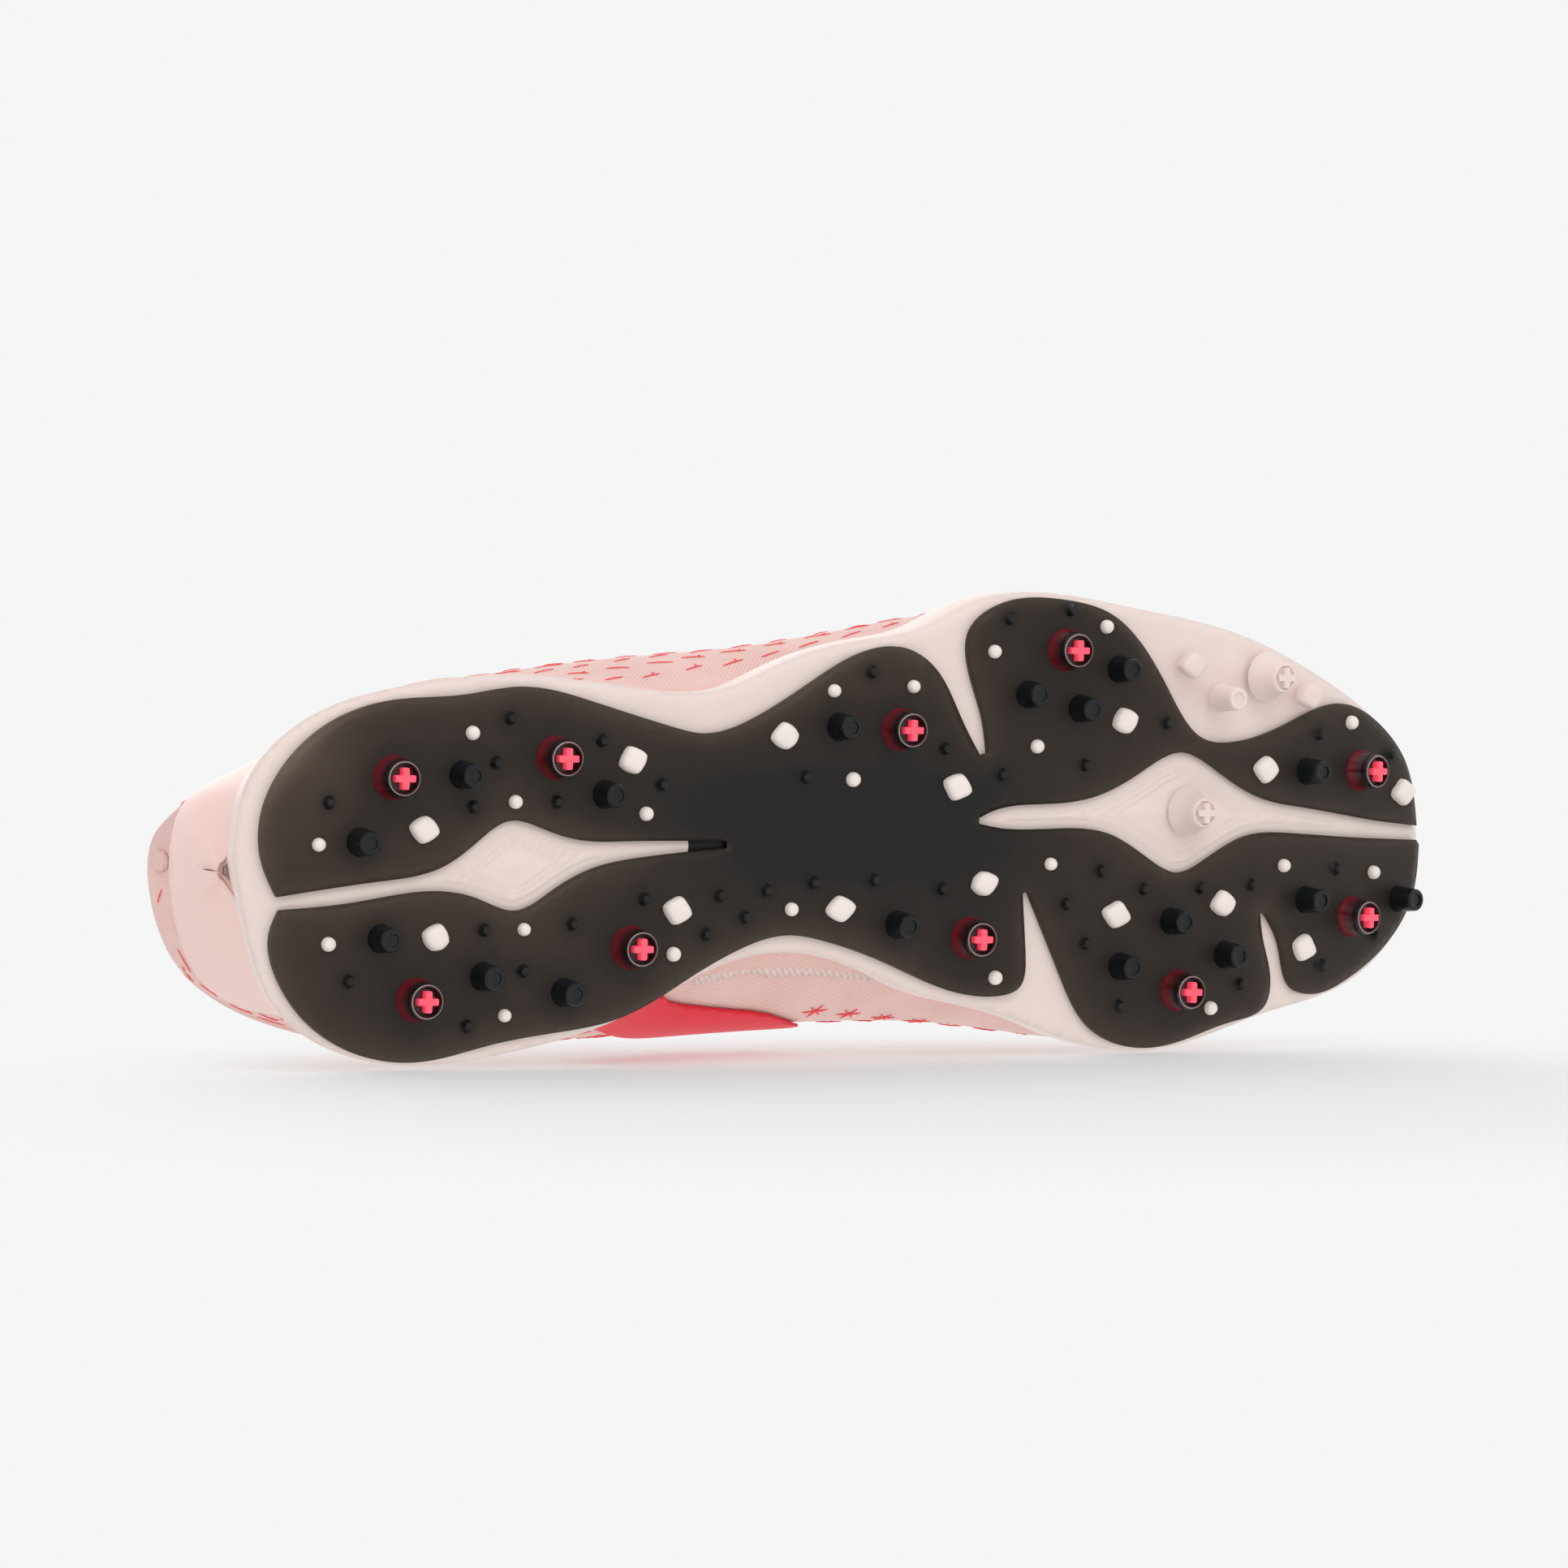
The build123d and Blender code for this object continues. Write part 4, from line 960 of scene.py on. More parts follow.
def cut_grid(columns, keep_value, name, thickness):
    """A sheet with thickness from the part of a grid where keep_value is above zero, cut smoothly."""
    g = columns
    n_cols, n_rows = g.shape[:2]
    mesh = bpy.data.meshes.new(name)
    work = bmesh.new()
    layer = work.loops.layers.uv.new("Knit")
    run = np.concatenate([[0], np.cumsum(np.linalg.norm(np.diff(g[:, n_rows // 2], axis=0), axis=1))])
    steps = np.linalg.norm(np.diff(g, axis=1), axis=2)
    across = np.cumsum(np.concatenate([np.zeros((n_cols, 1)), steps], axis=1), axis=1)
    across -= across[:, n_rows // 2][:, None]
    verts = {}
    uvs = {}

    def vert(i, j):
        if (i, j) not in verts:
            v = work.verts.new((g[i, j] + SHIFT) * MM)
            verts[(i, j)] = v
            uvs[v] = (run[i] * MM, across[i, j] * MM)
        return verts[(i, j)]

    cuts = {}

    def cut(a, b):
        key = (a, b) if a < b else (b, a)
        if key not in cuts:
            fa, fb = keep_value[key[0]], keep_value[key[1]]
            t = np.clip(fa / (fa - fb), 0.02, 0.98)
            p = g[key[0]] * (1 - t) + g[key[1]] * t
            v = work.verts.new((p + SHIFT) * MM)
            ua = np.array((run[key[0][0]], across[key[0]]))
            ub = np.array((run[key[1][0]], across[key[1]]))
            uvs[v] = tuple((ua * (1 - t) + ub * t) * MM)
            cuts[key] = v
        return cuts[key]

    for i in range(n_cols - 1):
        for j in range(n_rows - 1):
            ring = [(i, j), (i + 1, j), (i + 1, j + 1), (i, j + 1)]
            kept = [keep_value[k] > 0 for k in ring]
            if all(kept):
                loop = [vert(*k) for k in ring]
            elif any(kept):
                loop = []
                for a, b in zip(range(4), (1, 2, 3, 0)):
                    if kept[a]:
                        loop.append(vert(*ring[a]))
                    if kept[a] != kept[b]:
                        loop.append(cut(ring[a], ring[b]))
            else:
                continue
            if len(set(loop)) >= 3:
                try:
                    face = work.faces.new(loop)
                except ValueError:
                    continue
                for corner in face.loops:
                    corner[layer].uv = uvs[corner.vert]
    bmesh.ops.recalc_face_normals(work, faces=work.faces)
    middle = max(work.faces, key=lambda f: f.calc_center_median().z)
    if middle.normal.z < 0:
        bmesh.ops.reverse_faces(work, faces=work.faces)
    work.to_mesh(mesh)
    work.free()
    piece = bpy.data.objects.new(name, mesh)
    bpy.context.scene.collection.objects.link(piece)
    mesh.shade_smooth()
    if thickness:
        wall = piece.modifiers.new("thickness", "SOLIDIFY")
        wall.thickness = thickness * MM
        wall.offset = -1.0
        wall.use_even_offset = False
        apply_modifiers(piece)
    return piece


def signed_opening(g, collar_drop=0.0, throat_grow=0.0):
    """Above zero where the upper is kept: below the collar line and outside the throat."""
    x, y, z = g[:, :, 0], g[:, :, 1], g[:, :, 2]
    below = collar_z(x) - collar_drop - z
    keys = [s[0] for s in SECTIONS]
    middle = np.interp(x, keys, [s[7] for s in SECTIONS])
    beside = np.abs(y - middle) - throat_half(x) - throat_grow
    ahead = (x - THROAT_END) * 1.0
    outside_throat = np.where((z > 40) & (x > -80), np.maximum(beside, ahead), 50.0)
    return np.minimum(below, outside_throat)


def eyelet_points():
    return [(x, crest_y(x) + side * EYELET_Y) for x in LACE_ROWS for side in (-1, 1)]


def drop_below_foot(g, t):
    """Cut the sheet where it enters the base."""
    return g[:, :, 2] - level(g[:, :, 0], t)


def upper_knit():
    g = OUTER.grid
    keep = np.minimum(signed_opening(g), drop_below_foot(g, 2.2))
    piece = cut_grid(g, keep, "upper_knit", KNIT_T)
    paint(piece, KNIT)
    bend_with_upper(piece)
    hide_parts("vamp_knit", "quarter_lateral", "quarter_medial", "knit_flex_zone")


def upper_lining():
    skin = Skin(LINING_OUT)
    g = skin.grid
    keep = np.minimum(signed_opening(g, 0.6, 0.5), drop_below_foot(g, BASE_T + 0.5))
    piece = cut_grid(g, keep, "soft_lining", LINING_IN - LINING_OUT)
    paint(piece, LINING)
    bend_with_upper(piece)
    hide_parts("lining_rear", "lining_front", "lining_flex_zone", "quarter_backing", "vamp_backing",
                "collar_padding")


upper_knit()
upper_lining()


# ================= overlays on the upper =================
def overlay(name, mask, thickness, body, slot, paints, *nodes):
    """A film or patch that lies on the knit where mask is above zero."""
    g = Skin(-0.05 - thickness).grid
    keep = mask(g)
    piece = cut_grid(g, keep, name, thickness)
    paint(piece, paints)
    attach(piece, body)
    if nodes:
        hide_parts(*nodes)
    return piece


def polygon_mask(g, axis_a, axis_b, outline):
    """Signed distance inside an outline drawn on two of the axes."""
    flat = np.column_stack([g[:, :, axis_a].ravel(), g[:, :, axis_b].ravel()])
    ring = np.asarray(outline, float)
    d = edge_distance(ring, flat)
    within = inside(ring, flat)
    return np.where(within, d, -d).reshape(g.shape[:2])


def middle_y(g):
    return np.interp(g[:, :, 0], [s[0] for s in SECTIONS], [s[7] for s in SECTIONS])


PANEL_EDGES = ([(-50, 8), (-45, 15.5), (-37.5, 18.6), (-27, 20.7), (-16.5, 22.8), (-6, 29)],
               [(-6, 29), (-12, 33), (-25, 35.5), (-38, 34.5), (-46.5, 31), (-58, 22)],
               [(-58, 22), (-64, 15), (-66, 8)], [(-66, 8), (-50, 8)])


def side_panel():
    outline = closed_outline(*PANEL_EDGES)

    def mask(g):
        side = np.where(g[:, :, 1] > middle_y(g), 50.0, -50.0)
        above = g[:, :, 2] - level(g[:, :, 0], 7.0)
        return np.minimum(np.minimum(polygon_mask(g, 0, 2, outline), side), above)

    overlay("side_panel", mask, 0.6, "rear", "red_satin", RED_SATIN, "side_panel_medial")


def heel_panel():
    outline = closed_outline([(-160, 10), (-119, 10)], [(-119, 10), (-122, 30), (-127, 47)],
                             [(-127, 47), (-160, 49)], [(-160, 49), (-160, 10)])

    def mask(g):
        return np.minimum(polygon_mask(g, 0, 2, outline), g[:, :, 2] - level(g[:, :, 0], 7.0))

    overlay("heel_film", mask, 0.45, "rear", "heel_film", HEEL_FILM, "heel_panel")


def heel_tape():
    def mask(g):
        side = 2.2 - np.abs(g[:, :, 1] - 7)
        x, z = g[:, :, 0], g[:, :, 2]
        return np.minimum(np.minimum(side, collar_z(x) - 4.5 - z), np.minimum(z - 49.4, -124 - x))

    overlay("heel_tape", mask, 0.5, "rear", "binding", BINDING, "heel_seam_tape")


def eyestays():
    outline = closed_outline([(-57, crest_y(-57) - 24), (-20, -25), (9, -20.5)], [(9, -20.5), (13, -2)],
                             [(13, -2), (9, 17.5)], [(9, 17.5), (-20, 24), (-57, crest_y(-57) + 24)],
                             [(-57, crest_y(-57) + 24), (-57, crest_y(-57) - 24)])
    for side, word in ((-1, "lateral"), (1, "medial")):
        def mask(g):
            y, z = g[:, :, 1], g[:, :, 2]
            stay = polygon_mask(g, 0, 1, outline)
            beside = side * (y - middle_y(g)) - 0.02
            high = z - 45
            return np.minimum.reduce([stay, beside, high, signed_opening(g, 4.3, 0.4)])

        overlay("eyestay_" + word + "_film", mask, 0.6, "rear", "eyestay_film", EYESTAY, "eyestay_" + word)


def eyelet_rings():
    """A punched edge round each eyelet, lying on the eyestay, in the eyestay's colour."""
    top = Skin(-0.7)
    points_all, faces_all = [], []
    for x, y in eyelet_points():
        z = top.at(x, y)
        zx = (top.at(x + 1.5, y) - top.at(x - 1.5, y)) / 3.0
        zy = (top.at(x, y + 1.5) - top.at(x, y - 1.5)) / 3.0
        n = np.array([-zx, -zy, 1.0])
        n /= np.linalg.norm(n)
        a = np.array([1, 0, zx])
        a /= np.linalg.norm(a)
        b = np.cross(n, a)
        ring = [(1.7, -0.6), (1.75, 0.12), (2.1, 0.28), (2.6, 0.2), (2.75, -0.1)]
        start = sum(len(p) for p in points_all)
        count = 28
        local = []
        for r, h in ring:
            for k in range(count):
                t = 2 * math.pi * k / count
                local.append(np.array([x, y, z]) + n * h + a * r * math.cos(t) + b * r * math.sin(t))
        points_all.append(np.array(local))
        faces_all += ring_faces(len(ring), count, start)
    piece = new_piece("eyelet_rings", np.vstack(points_all), faces_all, "rear")
    paint(piece, EYESTAY)


def fold_of(p, q, n, width, height):
    """A stitch: a small rounded bar between two points, standing off the knit along n."""
    p, q, n = np.asarray(p, float), np.asarray(q, float), np.asarray(n, float)
    d = q - p
    length = np.linalg.norm(d)
    d /= length
    side = np.cross(n, d)
    points = []
    count = 6
    sections = [(0.0, 0.35), (0.12, 0.85), (0.5, 1.0), (0.88, 0.85), (1.0, 0.35)]
    for s, k in sections:
        centre = p + d * length * s + n * (height * 0.45 * math.sin(math.pi * s))
        for m in range(count):
            a = 2 * math.pi * m / count
            points.append(centre + side * (width / 2 * k * math.cos(a)) + n * (height / 2 * k * math.sin(a)))
    return points, ring_faces(len(sections), count, caps=True)


class StitchSet:
    def __init__(self):
        self.points = []
        self.faces = []

    def add(self, p, q, n, width=0.55, height=0.4):
        points, faces = fold_of(p, q, n, width, height)
        start = len(self.points)
        self.points += points
        self.faces += [tuple(start + k for k in f) for f in faces]

    def build(self, name, body, paint_with):
        piece = new_piece(name, self.points, self.faces, None)
        paint(piece, paint_with)
        if body == "upper":
            bend_with_upper(piece)
        else:
            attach(piece, body)
        return piece


def stitched_stars():
    """Six-armed stars on the medial side, in a square grid that follows the surface up from the wall."""
    rng = random.Random(11)
    stitches = StitchSet()
    panel = closed_outline(*PANEL_EDGES)
    g = OUTER.grid
    for x in np.arange(-60.0, 119.0, 9.0):
        column = g[int(np.clip(np.searchsorted(g[:, CREST, 0], x), 1, len(g) - 1)), :CREST - 1:-1]
        run = np.concatenate([[0], np.cumsum(np.linalg.norm(np.diff(column, axis=0), axis=1))])
        for row in range(9):
            place_x = x + rng.uniform(-0.35, 0.35)
            z = float(np.interp(12.1 + row * 8.6 + rng.uniform(-0.3, 0.3), run, column[:, 2]))
            spot = np.array([(place_x, z)])
            if inside(panel, spot)[0] or edge_distance(panel, spot)[0] < 3.4 or not star_fits(place_x, z, 1):
                continue
            p, n = OUTER.side_point(place_x, z, 1)
            star(stitches, p, n, 3, 2.7, rng)
    stitches.build("star_stitches", "upper", RED_THREAD)


def star_fits(x, z, side):
    """Whether a star at x and z lands on the upper's side, clear of its openings and overlays."""
    column = OUTER.grid[int(np.clip(np.searchsorted(OUTER.grid[:, CREST, 0], x), 1, len(OUTER.grid) - 1))]
    crest = column[CREST, 2]
    if z > crest - 9 or z < float(level(x, WALL_T - (4.0 if -52 < x < -2 else 0.0))) + 2.2:
        return False
    if z > float(collar_z(x)) - 7:
        return False
    p, _ = OUTER.side_point(x, z, side)
    if z > 45 and abs(p[1] - crest_y(x)) < 27 and x < 14:
        return False
    return True


def star(stitches, p, n, arms, reach, rng, tilt=None):
    """Arms crossing at one point on the knit."""
    a = np.cross(n, np.array([0, 0, 1.0]))
    if np.linalg.norm(a) < 0.2:
        a = np.array([1.0, 0, 0])
    a /= np.linalg.norm(a)
    b = np.cross(n, a)
    tilt = rng.uniform(-0.12, 0.12) if tilt is None else tilt
    for k in range(arms):
        angle = tilt + math.pi * k / arms + 0.25
        d = a * math.cos(angle) + b * math.sin(angle)
        r = reach * (rng.uniform(0.85, 1.1) if k else 1.05)
        bent = n * 0.12
        stitches.add(p - d * r + bent, p + d * r + bent, n, 0.42, 0.3)


def stitched_dashes():
    """Loose dashes and chevrons on the lateral side, longer and closer than the stars."""
    rng = random.Random(23)
    stitches = StitchSet()
    for row in range(8):
        z = 17.0 + row * 7.0
        x = -116.0 + (row % 2) * 4.6
        while x < 128:
            place_x = x + rng.uniform(-0.8, 0.8)
            place_z = z + rng.uniform(-0.6, 0.6)
            x += 9.4
            if not star_fits(place_x, place_z, -1):
                continue
            p, n = OUTER.side_point(place_x, place_z, -1)
            dash(stitches, p, n, rng, row)
    stitches.build("dash_stitches", "upper", RED_THREAD)


def dash(stitches, p, n, rng, row):
    a = np.array([1.0, 0, 0]) - n * n[0]
    a /= np.linalg.norm(a)
    b = np.cross(n, a)
    kind = rng.random()
    lift = n * 0.12
    long_dash = 2.6 + rng.uniform(-0.3, 0.5)
    slope = 0.28 if row % 2 else -0.32
    d = a * math.cos(slope) + b * math.sin(slope)
    stitches.add(p - d * long_dash + lift, p + d * long_dash + lift, n, 0.38, 0.24)
    if kind < 0.55:
        e = a * math.cos(slope + 1.0) + b * math.sin(slope + 1.0)
        stitches.add(p + d * long_dash * 0.3 + lift, p + d * long_dash * 0.3 + e * 1.9 + lift, n, 0.38, 0.24)


def heel_dashes():
    """Short red stitches round the heel, beside the film and over it up to the collar."""
    rng = random.Random(5)
    stitches = StitchSet()
    for side in (-1, 1):
        for row in range(10):
            z = 17.0 + row * 5.0
            film_edge = -119 - 8 * max(0.0, (z - 10) / 37) if z < 51 else -150
            for step in range(5):
                x = -141.5 + step * 6.6 + (row % 2) * 3.0 + rng.uniform(-0.6, 0.6)
                if x < film_edge + 3.5 or z > float(collar_z(x)) - 5.0 or (side < 0 and x > -119):
                    continue
                p, n = OUTER.side_point(x, z, side)
                if abs(p[1] - 7) < 6.5 or z < float(level(x, WALL_T)) + 2.5:
                    continue
                dash(stitches, p, n, rng, row)
    stitches.build("heel_stitches", "rear", RED_THREAD)


# ================= collar, tongue, insole and lace =================
def tube_along(path, radius_a, radius_b, normals, count=12, closed=False):
    """A soft roll along a path: radius_a across, radius_b along the given normals."""
    path = np.asarray(path, float)
    along = np.gradient(path, axis=0)
    if closed:
        along = np.roll(path, -1, axis=0) - np.roll(path, 1, axis=0)
    along /= np.linalg.norm(along, axis=1)[:, None]
    n = np.asarray(normals, float)
    n = n - along * np.sum(n * along, axis=1)[:, None]
    n /= np.linalg.norm(n, axis=1)[:, None]
    side = np.cross(along, n)
    points = []
    rows = len(path)
    radii_a, radii_b = np.broadcast_to(radius_a, rows), np.broadcast_to(radius_b, rows)
    for p, nn, s, a, b in zip(path, n, side, radii_a, radii_b):
        for k in range(count):
            turn = 2 * math.pi * k / count
            points.append(p + s * a * math.cos(turn) + nn * b * math.sin(turn))
    faces = ring_faces(rows, count, caps=not closed)
    last = (rows - 1) * count
    if closed:
        for j in range(count):
            k = (j + 1) % count
            faces.append((last + j, last + k, k, j))
    return np.array(points), faces


def opening_edge():
    """The edge of the upper's opening: round the collar and down both sides of the throat."""
    middle = Skin(1.6)
    g = middle.grid
    sides = {}
    for side in (-1, 1):
        run = []
        for i in range(len(g)):
            x = g[i, CREST, 0]
            if x > THROAT_END - 0.6:
                break
            rows = LATERAL_ROWS if side < 0 else MEDIAL_ROWS
            previous = None
            for j in rows:
                z_limit = float(collar_z(x))
                beside = abs(g[i, j, 1] - crest_y(x)) - float(throat_half(x))
                value = min(z_limit - g[i, j, 2], beside if g[i, j, 2] > 40 else 50.0)
                if previous is not None and value <= 0 < previous[0]:
                    t = previous[0] / (previous[0] - value)
                    p = previous[1] * (1 - t) + g[i, j] * t
                    m = previous[2] * (1 - t) + middle.n[i, j] * t
                    run.append((p, m / np.linalg.norm(m)))
                    break
                previous = (value, g[i, j], middle.n[i, j])
        sides[side] = run
    loop = sides[-1] + sides[1][::-1]
    points = np.array([p for p, _ in loop])
    normals = np.array([m for _, m in loop])
    return points, normals


def even_run(points, others, step):
    """A closed loop sampled evenly, with its companion vectors."""
    closed = np.vstack([points, points[:1]])
    companion = np.vstack([others, others[:1]])
    span = np.concatenate([[0], np.cumsum(np.linalg.norm(np.diff(closed, axis=0), axis=1))])
    at = np.linspace(0, span[-1], int(span[-1] / step) + 1)[:-1]
    run = np.column_stack([np.interp(at, span, closed[:, k]) for k in range(3)])
    vec = np.column_stack([np.interp(at, span, companion[:, k]) for k in range(3)])
    for _ in range(3):
        run = (np.roll(run, 1, axis=0) + 2 * run + np.roll(run, -1, axis=0)) / 4
        vec = (np.roll(vec, 1, axis=0) + 2 * vec + np.roll(vec, -1, axis=0)) / 4
    return run, vec / np.linalg.norm(vec, axis=1)[:, None]


def collar_roll():
    points, normals = opening_edge()
    path, across = even_run(points, normals, 1.6)
    throat = np.clip((path[:, 0] + 66) / 16, 0, 1)
    points, faces = tube_along(path, 1.9 * (1 - throat) + 1.1 * throat, 2.6 * (1 - throat) + 1.75 * throat,
                               across, 14, closed=True)
    piece = new_piece("collar_roll", points, faces, None)
    tidy_mesh(piece)
    knit_uv(piece)
    paint(piece, BINDING)
    bend_with_upper(piece)
    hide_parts("collar_binding")


def knit_uv(piece):
    """A plain UV map in metres for the weave of rolled and flat pieces."""
    layer = piece.data.uv_layers.new(name="Knit")
    for loop in piece.data.loops:
        v = piece.data.vertices[loop.vertex_index].co
        layer.data[loop.index].uv = (v.x, v.y + v.z)


def tongue():
    middle = Skin(TONGUE_OUT)
    g = middle.grid
    end_l, end_m = crest_y(-74) - 17, crest_y(-74) + 17
    outline = closed_outline([(-74, end_l), (-52, -23), (-20, -25), (6, -19)], [(6, -19), (9, -2), (6, 16)],
                             [(6, 16), (-20, 23), (-52, 25), (-74, end_m)],
                             [(-74, end_m), (-78, crest_y(-79)), (-74, end_l)])
    top = g[:, :, 2] - 45
    keep = np.minimum(polygon_mask(g, 0, 1, outline), top)
    piece = cut_grid(g, keep, "tongue", TONGUE_IN - TONGUE_OUT + 0.6)
    paint(piece, TONGUE_KNIT)
    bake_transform(piece)
    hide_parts("tongue_base", "tongue_top")


def foot_ring(depth, height):
    """The outline of what fits inside the upper at a height over the sole."""
    g = Skin(depth).grid
    left, right = [], []
    for i in range(len(g)):
        x = g[i, CREST, 0]
        z = float(level(x, height))
        for rows, store in ((LATERAL_ROWS, left), (MEDIAL_ROWS, right)):
            for j in rows:
                if g[i, j, 2] >= z:
                    store.append((g[i, j, 0], g[i, j, 1]))
                    break
    ring = np.array(left + right[::-1])
    keep = [0]
    for k in range(1, len(ring)):
        if np.linalg.norm(ring[k] - ring[keep[-1]]) > 1.0:
            keep.append(k)
    ring = ring[keep]
    if np.linalg.norm(ring[0] - ring[-1]) < 1.0:
        ring = ring[:-1]
    return ring


def footbed_layer(name, ring, low, high, cup, paint_with):
    """A sheet under the foot, turned up round its edge by cup."""
    flat, faces = filled(ring, 2.4)
    n = len(flat)
    d = edge_distance(ring, flat)
    top = np.column_stack([flat, level(flat[:, 0], high) + cup * np.exp(-d / 4.0)])
    bottom = np.column_stack([flat, level(flat[:, 0], low)])
    quads = [tuple(f) for f in faces]
    quads += [tuple(k + n for k in f[::-1]) for f in faces]
    count = len(ring)
    for i in range(count):
        j = (i + 1) % count
        quads.append((i, i + n, j + n, j))
    piece = new_piece(name, np.vstack([top, bottom]), quads, None)
    tidy_mesh(piece)
    knit_uv(piece)
    paint(piece, paint_with)
    bend_with_sole(piece)
    return piece


def footbed():
    ring = foot_ring(LINING_IN + 0.1, INSOLE_T - 1.0)
    cover = footbed_layer("insole_sheet", ring, 6.0, INSOLE_T, 1.4, INSOLE)
    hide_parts("insole_rear", "insole_front", "insole_flex_zone")
    ring = foot_ring(LINING_IN + 0.1, 5.2)
    board = footbed_layer("lasting_board_sheet", ring, 4.65, 5.85, 0.0, BOARD)
    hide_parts("lasting_board_rear", "lasting_board_front")


def lace_and_tips():
    """A flat lace: a bar over the throat at each row, turned down into its eyelets, and the run beneath."""
    top = Skin(-0.7)
    under = Skin(LINING_IN + 1.4)
    side = -1
    stops = []
    for x in LACE_ROWS:
        y0 = crest_y(x)
        span = np.linspace(side * EYELET_Y, -side * EYELET_Y, 19)
        arch = []
        for s in span:
            bar = top.at(x, y0 + s)
            ends = min(1.0, (EYELET_Y - abs(s)) / 3.0)
            arch.append((x, y0 + s, bar + 0.2 + 1.15 * math.sin(min(1.0, ends) * math.pi / 2)))
        low_near = under.at(x, y0 + side * EYELET_Y)
        low_far = under.at(x, y0 - side * EYELET_Y)
        drop_near = [(x, y0 + side * (EYELET_Y + 0.5), arch[0][2] - 1.1),
                     (x, y0 + side * (EYELET_Y + 0.3), low_near)]
        drop_far = [(x, y0 - side * (EYELET_Y + 0.5), arch[-1][2] - 1.1),
                    (x, y0 - side * (EYELET_Y + 0.3), low_far)]
        stops += drop_near[::-1] + arch + drop_far
        side = -side
    points = np.array(stops, float)
    path = run_through(points, 1.0)
    piece = ribbon("lace_run", path, 4.2, 1.1)
    knit_uv(piece)
    paint(piece, NAVY)
    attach(piece, "rear")
    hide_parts("lace")
    tips = []
    for end, inner in ((path[0], path[3]), (path[-1], path[-4])):
        d = end - inner
        d /= np.linalg.norm(d)
        run = np.array([end - d * 0.3, end + d * 1.6])
        points_t, faces_t = tube_along(run, 1.15, 0.75, np.array([[1.0, 0, 0]] * 2), 14)
        start = sum(len(t[0]) for t in tips)
        tips.append((points_t, [tuple(start + k for k in f) for f in faces_t]))
    tip = new_piece("lace_tips", np.vstack([t[0] for t in tips]), sum([t[1] for t in tips], []), "rear")
    paint(tip, AGLET)
    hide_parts("aglets")


def ribbon(name, path, width, thickness):
    """A flat woven strip along a path. Its width stays along the shoe."""
    path = np.asarray(path, float)
    along = np.gradient(path, axis=0)
    along /= np.linalg.norm(along, axis=1)[:, None]
    wide = np.tile(np.array([1.0, 0, 0]), (len(path), 1))
    wide = wide - along * np.sum(wide * along, axis=1)[:, None]
    length = np.linalg.norm(wide, axis=1)
    for i in range(len(wide)):
        if length[i] < 0.35:
            wide[i] = wide[i - 1]
            length[i] = np.linalg.norm(wide[i])
    wide /= np.linalg.norm(wide, axis=1)[:, None]
    up = np.cross(along, wide)
    points = []
    count = 12
    for p, w, u in zip(path, wide, up):
        for k in range(count):
            a = 2 * math.pi * k / count
            c, s = math.cos(a), math.sin(a)
            points.append(p + w * width / 2 * math.copysign(abs(c) ** 0.6, c)
                          + u * thickness / 2 * math.copysign(abs(s) ** 0.8, s))
    piece = new_piece(name, points, ring_faces(len(path), count, caps=True))
    tidy_mesh(piece)
    return piece


side_panel()
heel_panel()
heel_tape()
eyestays()
eyelet_rings()
stitched_stars()
stitched_dashes()
heel_dashes()
collar_roll()
tongue()
footbed()
lace_and_tips()

# Parts inside the shoe that nothing shows: they keep their CAD form.
COUNTER = material("counter", srgb(225, 215, 205), 0.6)
SHANK = material("shank", srgb(40, 44, 48), 0.35)
for name, m, word in (("heel_counter", COUNTER, "counter_plastic"), ("toe_puff", COUNTER, "counter_plastic"),
                      ("shank", SHANK, "shank_plastic")):
    paint(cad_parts[name], m)


# ================= camera, stage and light =================
def add_camera():
    data = bpy.data.cameras.new("camera")
    camera = bpy.data.objects.new("camera", data)
    bpy.context.scene.collection.objects.link(camera)
    data.sensor_width = 36.0
    data.lens = 154.66
    data.clip_start = 0.05
    data.clip_end = 20.0
    swing, rise, roll = math.radians(28.7), math.radians(2.5), math.radians(1.3)
    target = Vector((-0.022, -0.0082, 0.008))
    back = Vector((-math.sin(swing) * math.cos(rise), -math.sin(rise), -math.cos(swing) * math.cos(rise)))
    right = (-back).cross(Vector((0, -1, 0))).normalized()
    up = right.cross(-back)
    turned_right = right * math.cos(roll) + up * math.sin(roll)
    turned_up = up * math.cos(roll) - right * math.sin(roll)
    place = target + back * 1.4
    rows = [(turned_right[k], turned_up[k], back[k], place[k]) for k in range(3)]
    camera.matrix_world = Matrix((*rows, (0, 0, 0, 1)))
    bpy.context.scene.camera = camera
    return camera


def area_light(name, place, aim, size, power, colour=(1, 1, 1)):
    data = bpy.data.lights.new(name, "AREA")
    data.shape = "RECTANGLE"
    data.size = size[0]
    data.size_y = size[1]
    data.energy = power
    data.color = colour
    light = bpy.data.objects.new(name, data)
    bpy.context.scene.collection.objects.link(light)
    light.location = place
    direction = Vector(aim) - Vector(place)
    light.rotation_euler = direction.to_track_quat("-Z", "Y").to_euler()
    return light


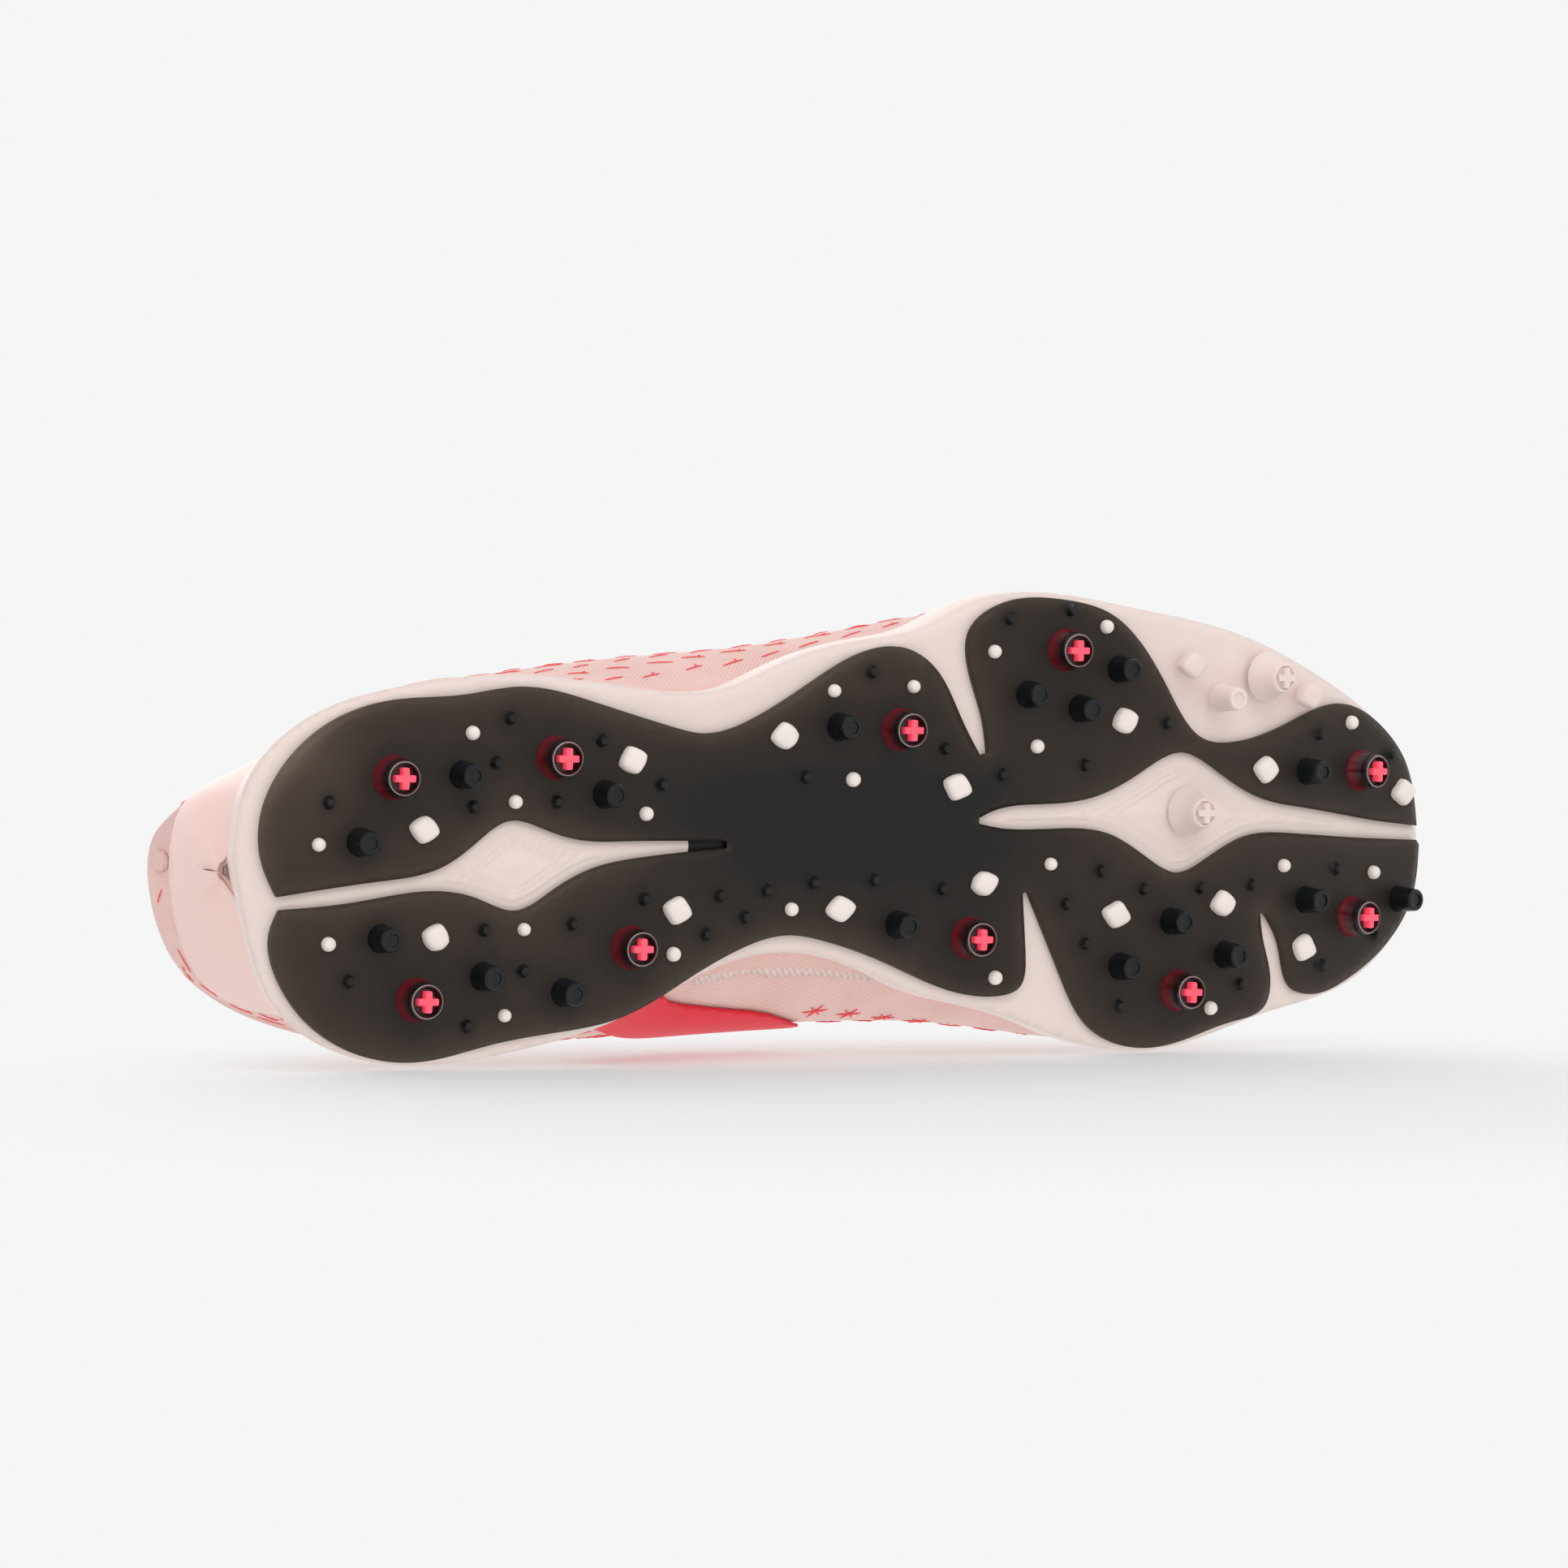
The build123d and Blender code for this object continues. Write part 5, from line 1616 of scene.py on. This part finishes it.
def one_sided(name, colour, radii, centre, fade_start):
    """A matte surface that only the camera sees, from its front, and that fades away from a centre."""
    m = bpy.data.materials.new(name)
    m.use_nodes = True
    graph = Graph(m)
    graph.nodes.clear()
    out = graph.add("OutputMaterial")
    diffuse = graph.add("BsdfDiffuse", Color=colour)
    clear = graph.add("BsdfTransparent")
    geometry = graph.add("NewGeometry")
    path = graph.add("LightPath")
    unseen = graph.sum("SUBTRACT", 1.0, path.outputs["Is Camera Ray"])
    mix = graph.add("MixShader")
    graph.links.new(graph.sum("MAXIMUM", unseen, geometry.outputs["Backfacing"]), mix.inputs[0])
    graph.join(diffuse, 0, mix, 1)
    graph.join(clear, 0, mix, 2)
    place = graph.add("TexCoord")
    shift = graph.add("Mapping", Location=tuple(-c / r for c, r in zip(centre, radii)),
                      Scale=tuple(1 / r for r in radii))
    length = graph.add("VectorMath", {"operation": "LENGTH"})
    fade = graph.add("MapRange", {"interpolation_type": "SMOOTHSTEP"}, From_Min=fade_start, From_Max=1.0)
    faded = graph.add("MixShader")
    graph.join(place, "Object", shift, "Vector")
    graph.join(shift, "Vector", length, 0)
    graph.join(length, "Value", fade, "Value")
    graph.join(fade, "Result", faded, 0)
    graph.join(mix, 0, faded, 1)
    graph.join(clear, 0, faded, 2)
    graph.join(faded, 0, out, "Surface")
    return m


def plane(name, corners, m):
    mesh = bpy.data.meshes.new(name)
    mesh.from_pydata(corners, [], [(0, 1, 2, 3)])
    mesh.update()
    piece = bpy.data.objects.new(name, mesh)
    bpy.context.scene.collection.objects.link(piece)
    paint(piece, m)
    return piece


def stage():
    """A pale sheet that the shoe's medial side lies on, and a floor under its studs."""
    wall_y = cad_box[1].y + 0.0006
    sheet = one_sided("pale_sheet", (0.84, 0.84, 0.84, 1), (0.30, 1.0, 0.18), (-0.02, 0, -0.09), 0.4)
    far, near_edge, end = 0.09, -0.6, 0.8
    plane("pale_sheet", [(-end, wall_y, near_edge), (end, wall_y, near_edge), (end, wall_y, far),
                         (-end, wall_y, far)], sheet)
    floor = one_sided("pale_floor", (0.92, 0.92, 0.92, 1), (0.5, 0.4, 1.0), (0, 0, 0), 0.4)
    half, low = 1.5, -0.0002
    plane("pale_floor", [(-half, -half, low), (half, -half, low), (half, half, low), (-half, half, low)], floor)


def world_light():
    world = bpy.data.worlds.new("studio")
    world.use_nodes = True
    bpy.context.scene.world = world
    sky = world.node_tree.nodes["Background"]
    sky.inputs["Color"].default_value = (0.915, 0.918, 0.922, 1)
    sky.inputs["Strength"].default_value = 1.0


add_camera()
stage()
world_light()
area_light("key", (-0.25, -1.1, -0.9), (0, 0, 0.02), (0.9, 0.7), 3.6)
area_light("top", (0.3, -0.3, 1.4), (0, 0, 0.05), (1.0, 0.8), 5.0)
bpy.context.scene.view_settings.view_transform = "Standard"
